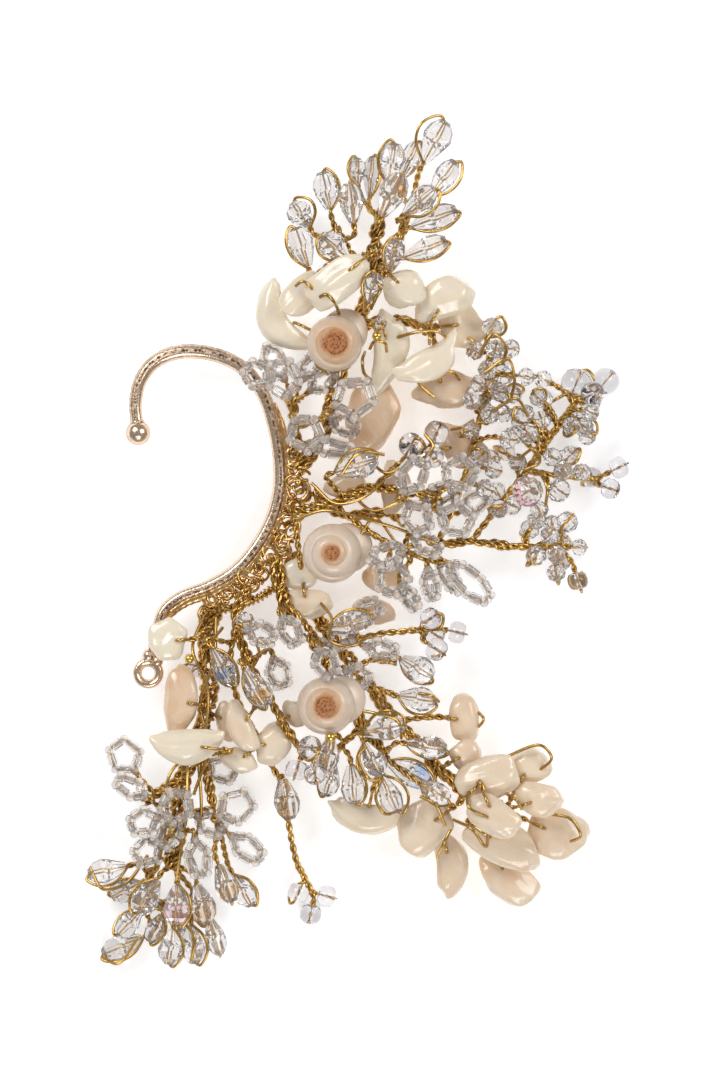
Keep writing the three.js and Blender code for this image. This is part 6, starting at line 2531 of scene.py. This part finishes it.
# Single wires in the open, each as a row of places.
BARE_WIRES = {
    "crown": [
        [(2.2, 42.6, 17.4), (3.4, 41.4, 18.0), (2.6, 39.6, 17.0), (1.8, 38.0, 12.0)],
        [(-10.6, 41.6, 16.0), (-9.4, 42.4, 16.6), (-8.0, 41.4, 16.2), (-7.6, 39.6, 12.0)],
        [(-6.6, 39.8, 16.6), (-5.6, 40.2, 17.2), (-4.4, 39.2, 16.8), (-3.4, 37.2, 12.0)],
        [(1.6, 31.4, 13.0), (2.4, 32.6, 14.4), (4.0, 32.4, 14.2), (4.4, 31.0, 12.0)],
        [(0.8, 31.0, 9.0), (0.4, 29.4, 12.4), (0.6, 27.6, 12.0), (1.8, 26.4, 9.0)],
        [(6.0, 36.2, 11.0), (7.2, 36.6, 11.6), (8.6, 36.2, 11.0), (9.6, 34.8, 9.0)],
        [(6.2, 33.4, 10.0), (9.4, 34.2, 11.4), (12.6, 34.4, 11.4), (14.6, 32.6, 10.0), (14.2, 31.4, 9.0)],
        [(11.4, 26.2, 9.2), (13.0, 27.8, 9.8), (15.4, 27.6, 9.4), (16.4, 26.4, 8.4)],
        [(8.6, 27.4, 10.2), (10.2, 25.2, 9.8), (12.2, 23.6, 9.4)],
        [(17.8, 33.4, 9.0), (18.8, 32.6, 9.6), (18.8, 31.0, 9.0), (17.6, 30.8, 8.0)],
    ],
    "shoulder": [
        [(-7.8, 31.4, 9.8), (-7.2, 29.0, 10.6), (-5.2, 27.2, 10.4)],
    ],
    "side": [
        [(19.6, 30.4, 13.8), (21.8, 33.8, 14.2), (24.0, 31.8, 12.8), (23.4, 29.0, 10.0)],
        [(20.6, 27.6, 14.2), (24.2, 29.8, 14.4), (25.4, 26.6, 12.4), (25.0, 23.6, 9.8)],
        [(21.8, 21.2, 15.4), (25.6, 23.2, 14.8), (27.6, 20.4, 12.6)],
        [(29.6, 11.2, 9.4), (30.8, 8.6, 11.0), (30.6, 5.6, 9.4)],
        [(26.4, 13.6, 10.0), (28.6, 15.0, 11.6), (29.6, 12.8, 10.0), (27.2, 11.6, 9.4)],
        [(15.0, 18.2, 9.0), (16.8, 18.6, 10.4), (18.8, 19.8, 10.4)],
        [(31.6, 22.8, 7.0), (33.0, 23.6, 7.6), (34.6, 24.4, 5.6)],
    ],
    "middle": [
        [(-3.0, 10.8, 16.2), (-1.0, 13.6, 17.4), (0.8, 14.4, 17.4), (4.0, 14.0, 16.0)],
        [
            (-10.6, 3.4, 11.0), (-6.2, 4.8, 12.4), (-2.4, 4.4, 13.0),
            (1.8, 3.2, 13.4), (7.0, 1.6, 13.0), (13.2, -0.8, 12.4),
        ],
        [(-8.0, 9.4, 10.0), (-4.0, 6.0, 12.0), (0.6, 7.0, 13.0), (4.0, 9.8, 12.6)],
        [(-2.0, 8.4, 9.0), (2.2, 4.8, 12.4), (7.4, 6.4, 13.6), (11.0, 5.0, 12.6)],
        [(0.2, 1.0, 11.0), (2.4, 3.6, 12.4), (6.0, -0.6, 12.8), (8.4, -3.6, 12.0)],
        [(1.0, 13.8, 12.0), (4.4, 11.0, 14.0), (8.0, 13.0, 14.4), (10.6, 15.4, 13.0)],
        [(10.6, 17.4, 16.4), (12.0, 15.4, 17.2), (10.6, 13.6, 16.8), (8.4, 12.8, 14.0)],
    ],
    "drops": [
        [
            (-6.4, -10.4, 10.0), (-4.6, -13.0, 13.0), (-5.0, -16.4, 15.6),
            (-1.6, -17.4, 16.6), (1.6, -15.8, 14.6),
        ],
        [(0.4, -28.0, 16.4), (2.6, -28.4, 17.2), (6.2, -29.6, 17.0), (6.8, -32.6, 15.0)],
        [(1.0, -33.8, 16.8), (-0.2, -35.6, 17.4), (1.4, -39.0, 17.2), (3.2, -39.8, 15.0)],
        [(3.6, -39.0, 15.0), (2.6, -42.4, 15.4), (4.2, -45.0, 14.8), (6.0, -44.4, 12.6)],
        [(9.6, -25.2, 13.0), (11.8, -25.6, 13.2), (13.0, -26.6, 11.0)],
    ],
    "lower": [
        [(23.6, -35.8, 12.0), (29.7, -33.7, 14.0), (31.5, -35.8, 13.6), (29.4, -38.0, 11.0)],
        [(30.5, -45.0, 11.0), (34.7, -45.9, 12.0), (36.3, -48.7, 11.6), (34.7, -49.7, 9.6)],
        [(9.9, -42.1, 14.0), (12.4, -43.4, 15.2), (14.0, -47.0, 13.6)],
        [(15.3, -45.9, 14.8), (18.4, -47.4, 17.6), (20.6, -50.3, 16.6), (21.0, -48.3, 14.0)],
        [(17.8, -41.3, 15.0), (17.8, -43.7, 17.0), (21.0, -45.4, 17.2)],
        [(14.9, -47.5, 13.0), (13.8, -49.8, 13.0), (12.7, -52.3, 10.0)],
        [(19.6, -28.4, 8.0), (20.4, -29.6, 10.0), (19.6, -30.8, 9.0)],
        [(24.0, -41.6, 14.4), (25.6, -42.6, 16.2), (26.6, -44.2, 14.0)],
    ],
    "sprigs": [
        [(-22.6, -14.4, 10.0), (-24.4, -17.0, 12.0), (-24.0, -20.4, 13.4), (-22.0, -24.0, 13.8)],
        [(-19.6, -14.0, 9.0), (-16.6, -18.2, 12.4), (-17.8, -21.4, 15.8)],
    ],
    "tail": [
        [
            (-25.8, -12.4, 7.0), (-27.6, -18.0, 9.6), (-25.2, -24.0, 10.8),
            (-25.6, -31.6, 11.4), (-28.2, -37.0, 11.0),
        ],
        [
            (-23.8, -12.8, 7.0), (-24.0, -19.4, 8.4), (-26.4, -27.0, 8.8),
            (-25.0, -34.0, 9.8), (-27.4, -42.0, 10.0),
        ],
        [(-27.0, -34.0, 9.8), (-31.4, -38.8, 12.0), (-31.8, -46.0, 11.4), (-33.0, -52.6, 10.6)],
        [(-28.4, -36.8, 9.6), (-28.6, -44.6, 11.6), (-29.6, -52.0, 12.0), (-30.2, -56.0, 12.6)],
        [(-26.6, -37.0, 9.2), (-26.2, -45.4, 10.4), (-27.8, -52.4, 10.2), (-26.8, -56.6, 10.0)],
        [(-42.8, -68.8, 5.4), (-40.0, -70.0, 6.0), (-36.6, -65.6, 6.0)],
        [(-28.8, -63.2, 11.0), (-27.2, -65.4, 11.6), (-27.8, -69.4, 10.8)],
        [(-44.6, -54.0, 7.0), (-42.4, -57.6, 8.6), (-38.6, -56.6, 8.0), (-35.0, -52.0, 7.6)],
    ],
}


def add_finer_stones() -> None:
    """Gives the sprays their finest stones, which fill the gaps among the others, and their bare wires."""
    plans = {plan.key: plan for plan in SPRAYS}
    plans["side"].extra_rondelles = rows(Bead, [
        (24.9, 31.6, 7.4, 3.4), (23.9, 27.2, 6.2, 3.2), (25.3, 24.0, 8.0, 3.2), (23.6, 20.9, 7.6, 3.3),
        (30.2, 26.6, 6.8, 3.2), (24.2, 14.6, 6.0, 3.3), (30.0, 19.8, 10.0, 3.3), (36.6, 11.2, 7.8, 3.2),
        (34.2, 3.0, 7.6, 3.8), (29.0, 3.2, 9.4, 3.3), (20.9, 28.0, 12.0, 3.3), (29.2, 23.4, 12.0, 3.0),
        (19.6, 25.8, 9.0, 3.2), (26.0, 12.8, 9.0, 3.2), (21.6, 25.2, 7.4, 3.4), (20.1, 22.6, 8.0, 3.4),
        (25.6, 17.4, 8.8, 3.5), (21.6, 13.4, 8.0, 3.4), (22.4, 8.0, 8.0, 3.5), (25.1, 5.8, 8.4, 3.6),
        (28.1, 1.8, 7.4, 3.5), (33.4, 13.4, 5.0, 3.4), (33.4, 11.4, 8.6, 3.4), (37.1, 18.6, 8.2, 3.4),
        (36.3, 20.2, 4.4, 3.3), (31.8, 2.6, 7.2, 3.4), (33.4, -0.6, 7.6, 3.5), (33.4, -3.6, 8.8, 3.4),
        (38.6, 22.9, 5.2, 3.0), (23.2, 29.2, 9.2, 3.2), (29.6, 5.0, 7.4, 3.4), (26.6, 19.6, 7.4, 3.4),
    ])
    plans["tail"].extra_drops = rows(Drop, [
        (-33.8, -64.2, 5.6, 5.0, 3.4, 245, -10), (-28.6, -65.2, 3.0, 6.0, 3.6, 270, -15),
    ])
    plans["crown"].extra_drops = rows(Drop, [(2.1, 41.3, 16.0, 5.0, 3.6, 75, 20, 0.5)])
    plans["middle"].extra_petals = rows(Petal, [
        (4.4, -2.4, 15.0, 3.6, 2.4, 6, 200, 25), (8.2, -9.6, 12.0, 2.8, 2.0, 5, -60, 35),
        (13.2, 7.4, 12.0, 3.4, 2.8, 5, 20, 35), (11.0, -0.8, 12.6, 3.2, 2.4, 5, -30, -30),
        (19.0, 6.2, 11.4, 3.0, 2.4, 5, 30, 20), (14.6, -6.0, 11.0, 3.8, 1.9, 6, -60, 15),
    ])
    plans["shoulder"].extra_petals = rows(Petal, [
        (-14.0, 29.4, 7.4, 3.8, 2.4, 6, 118, 25), (-6.2, 26.4, 6.6, 3.2, 2.4, 5, 40, -25),
        (-2.6, 19.0, 9.4, 3.2, 2.4, 5, -30, 30),
    ])
    plans["tail"].extra_petals = rows(Petal, [
        (-31.4, -48.4, 10.4, 3.2, 2.6, 5, -120, 25), (-24.6, -46.8, 9.0, 3.2, 2.6, 5, -30, -25),
    ])
    plans["drops"].extra_petals = rows(Petal, [
        (-3.4, -16.2, 11.0, 3.2, 2.4, 5, 10, -30), (3.6, -18.0, 12.0, 3.4, 2.2, 5, -10, 25),
    ])
    for key, arcs in BARE_WIRES.items():
        plans[key].arcs.extend([list(point) for point in arc] for arc in arcs)
    plans["middle"].extra_chips = rows(Chip, [
        (-9.8, -5.6, 8.2, 6.2, 4.6, 2.6, 24, 0, 0, 0),
        (-9.0, -10.4, 8.0, 8.0, 4.4, 2.6, -6, 0.04, 0.1, 0),
    ])


def set_down() -> None:
    """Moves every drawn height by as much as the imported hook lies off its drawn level."""
    low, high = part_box("ear_hook")
    shift = (low.z + high.z) / 2 / MM - HOOK_LEVEL
    HOOK_LINE.knots[:, 2] += shift
    for thing in SHELLS:
        thing.z += shift
    for plan in SPRAYS:
        for thing in [*plan.main_items(), *plan.finer_items()]:
            thing.z += shift
        for line in [*plan.branches, *plan.arcs]:
            for point in line:
                point[2] += shift


def settle_all() -> None:
    """Settles what the CAD part has, and then the finer stones among it."""
    main = [thing for plan in SPRAYS for thing in plan.main_items()]
    settle(main, fixed_spots())
    finer = [thing for plan in SPRAYS for thing in plan.finer_items()]
    settle(finer, np.vstack([fixed_spots(), *(thing.spots() for thing in main)]))


def remove_templates() -> None:
    """Removes the unit stones, which have been copied wherever they are needed."""
    for thing in [thing for thing in bpy.data.objects if thing.name.startswith("unit_")]:
        bpy.data.objects.remove(thing)


def write_sizes() -> None:
    """Brings the view layer up to date."""
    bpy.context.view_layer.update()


def main() -> None:
    """Builds the ear cuff and its studio."""
    logging.basicConfig(level=logging.INFO, format="%(name)s: %(message)s")
    add_finer_stones()
    settle_all()
    set_down()
    Studio().build()
    Hook().build()
    LaceBinding().build()
    for plan in SHELLS:
        TurbanShell(plan).build()
    for plan in SPRAYS:
        Spray(plan).build()
    remove_templates()
    write_sizes()


if __name__ == "__main__":
    main()
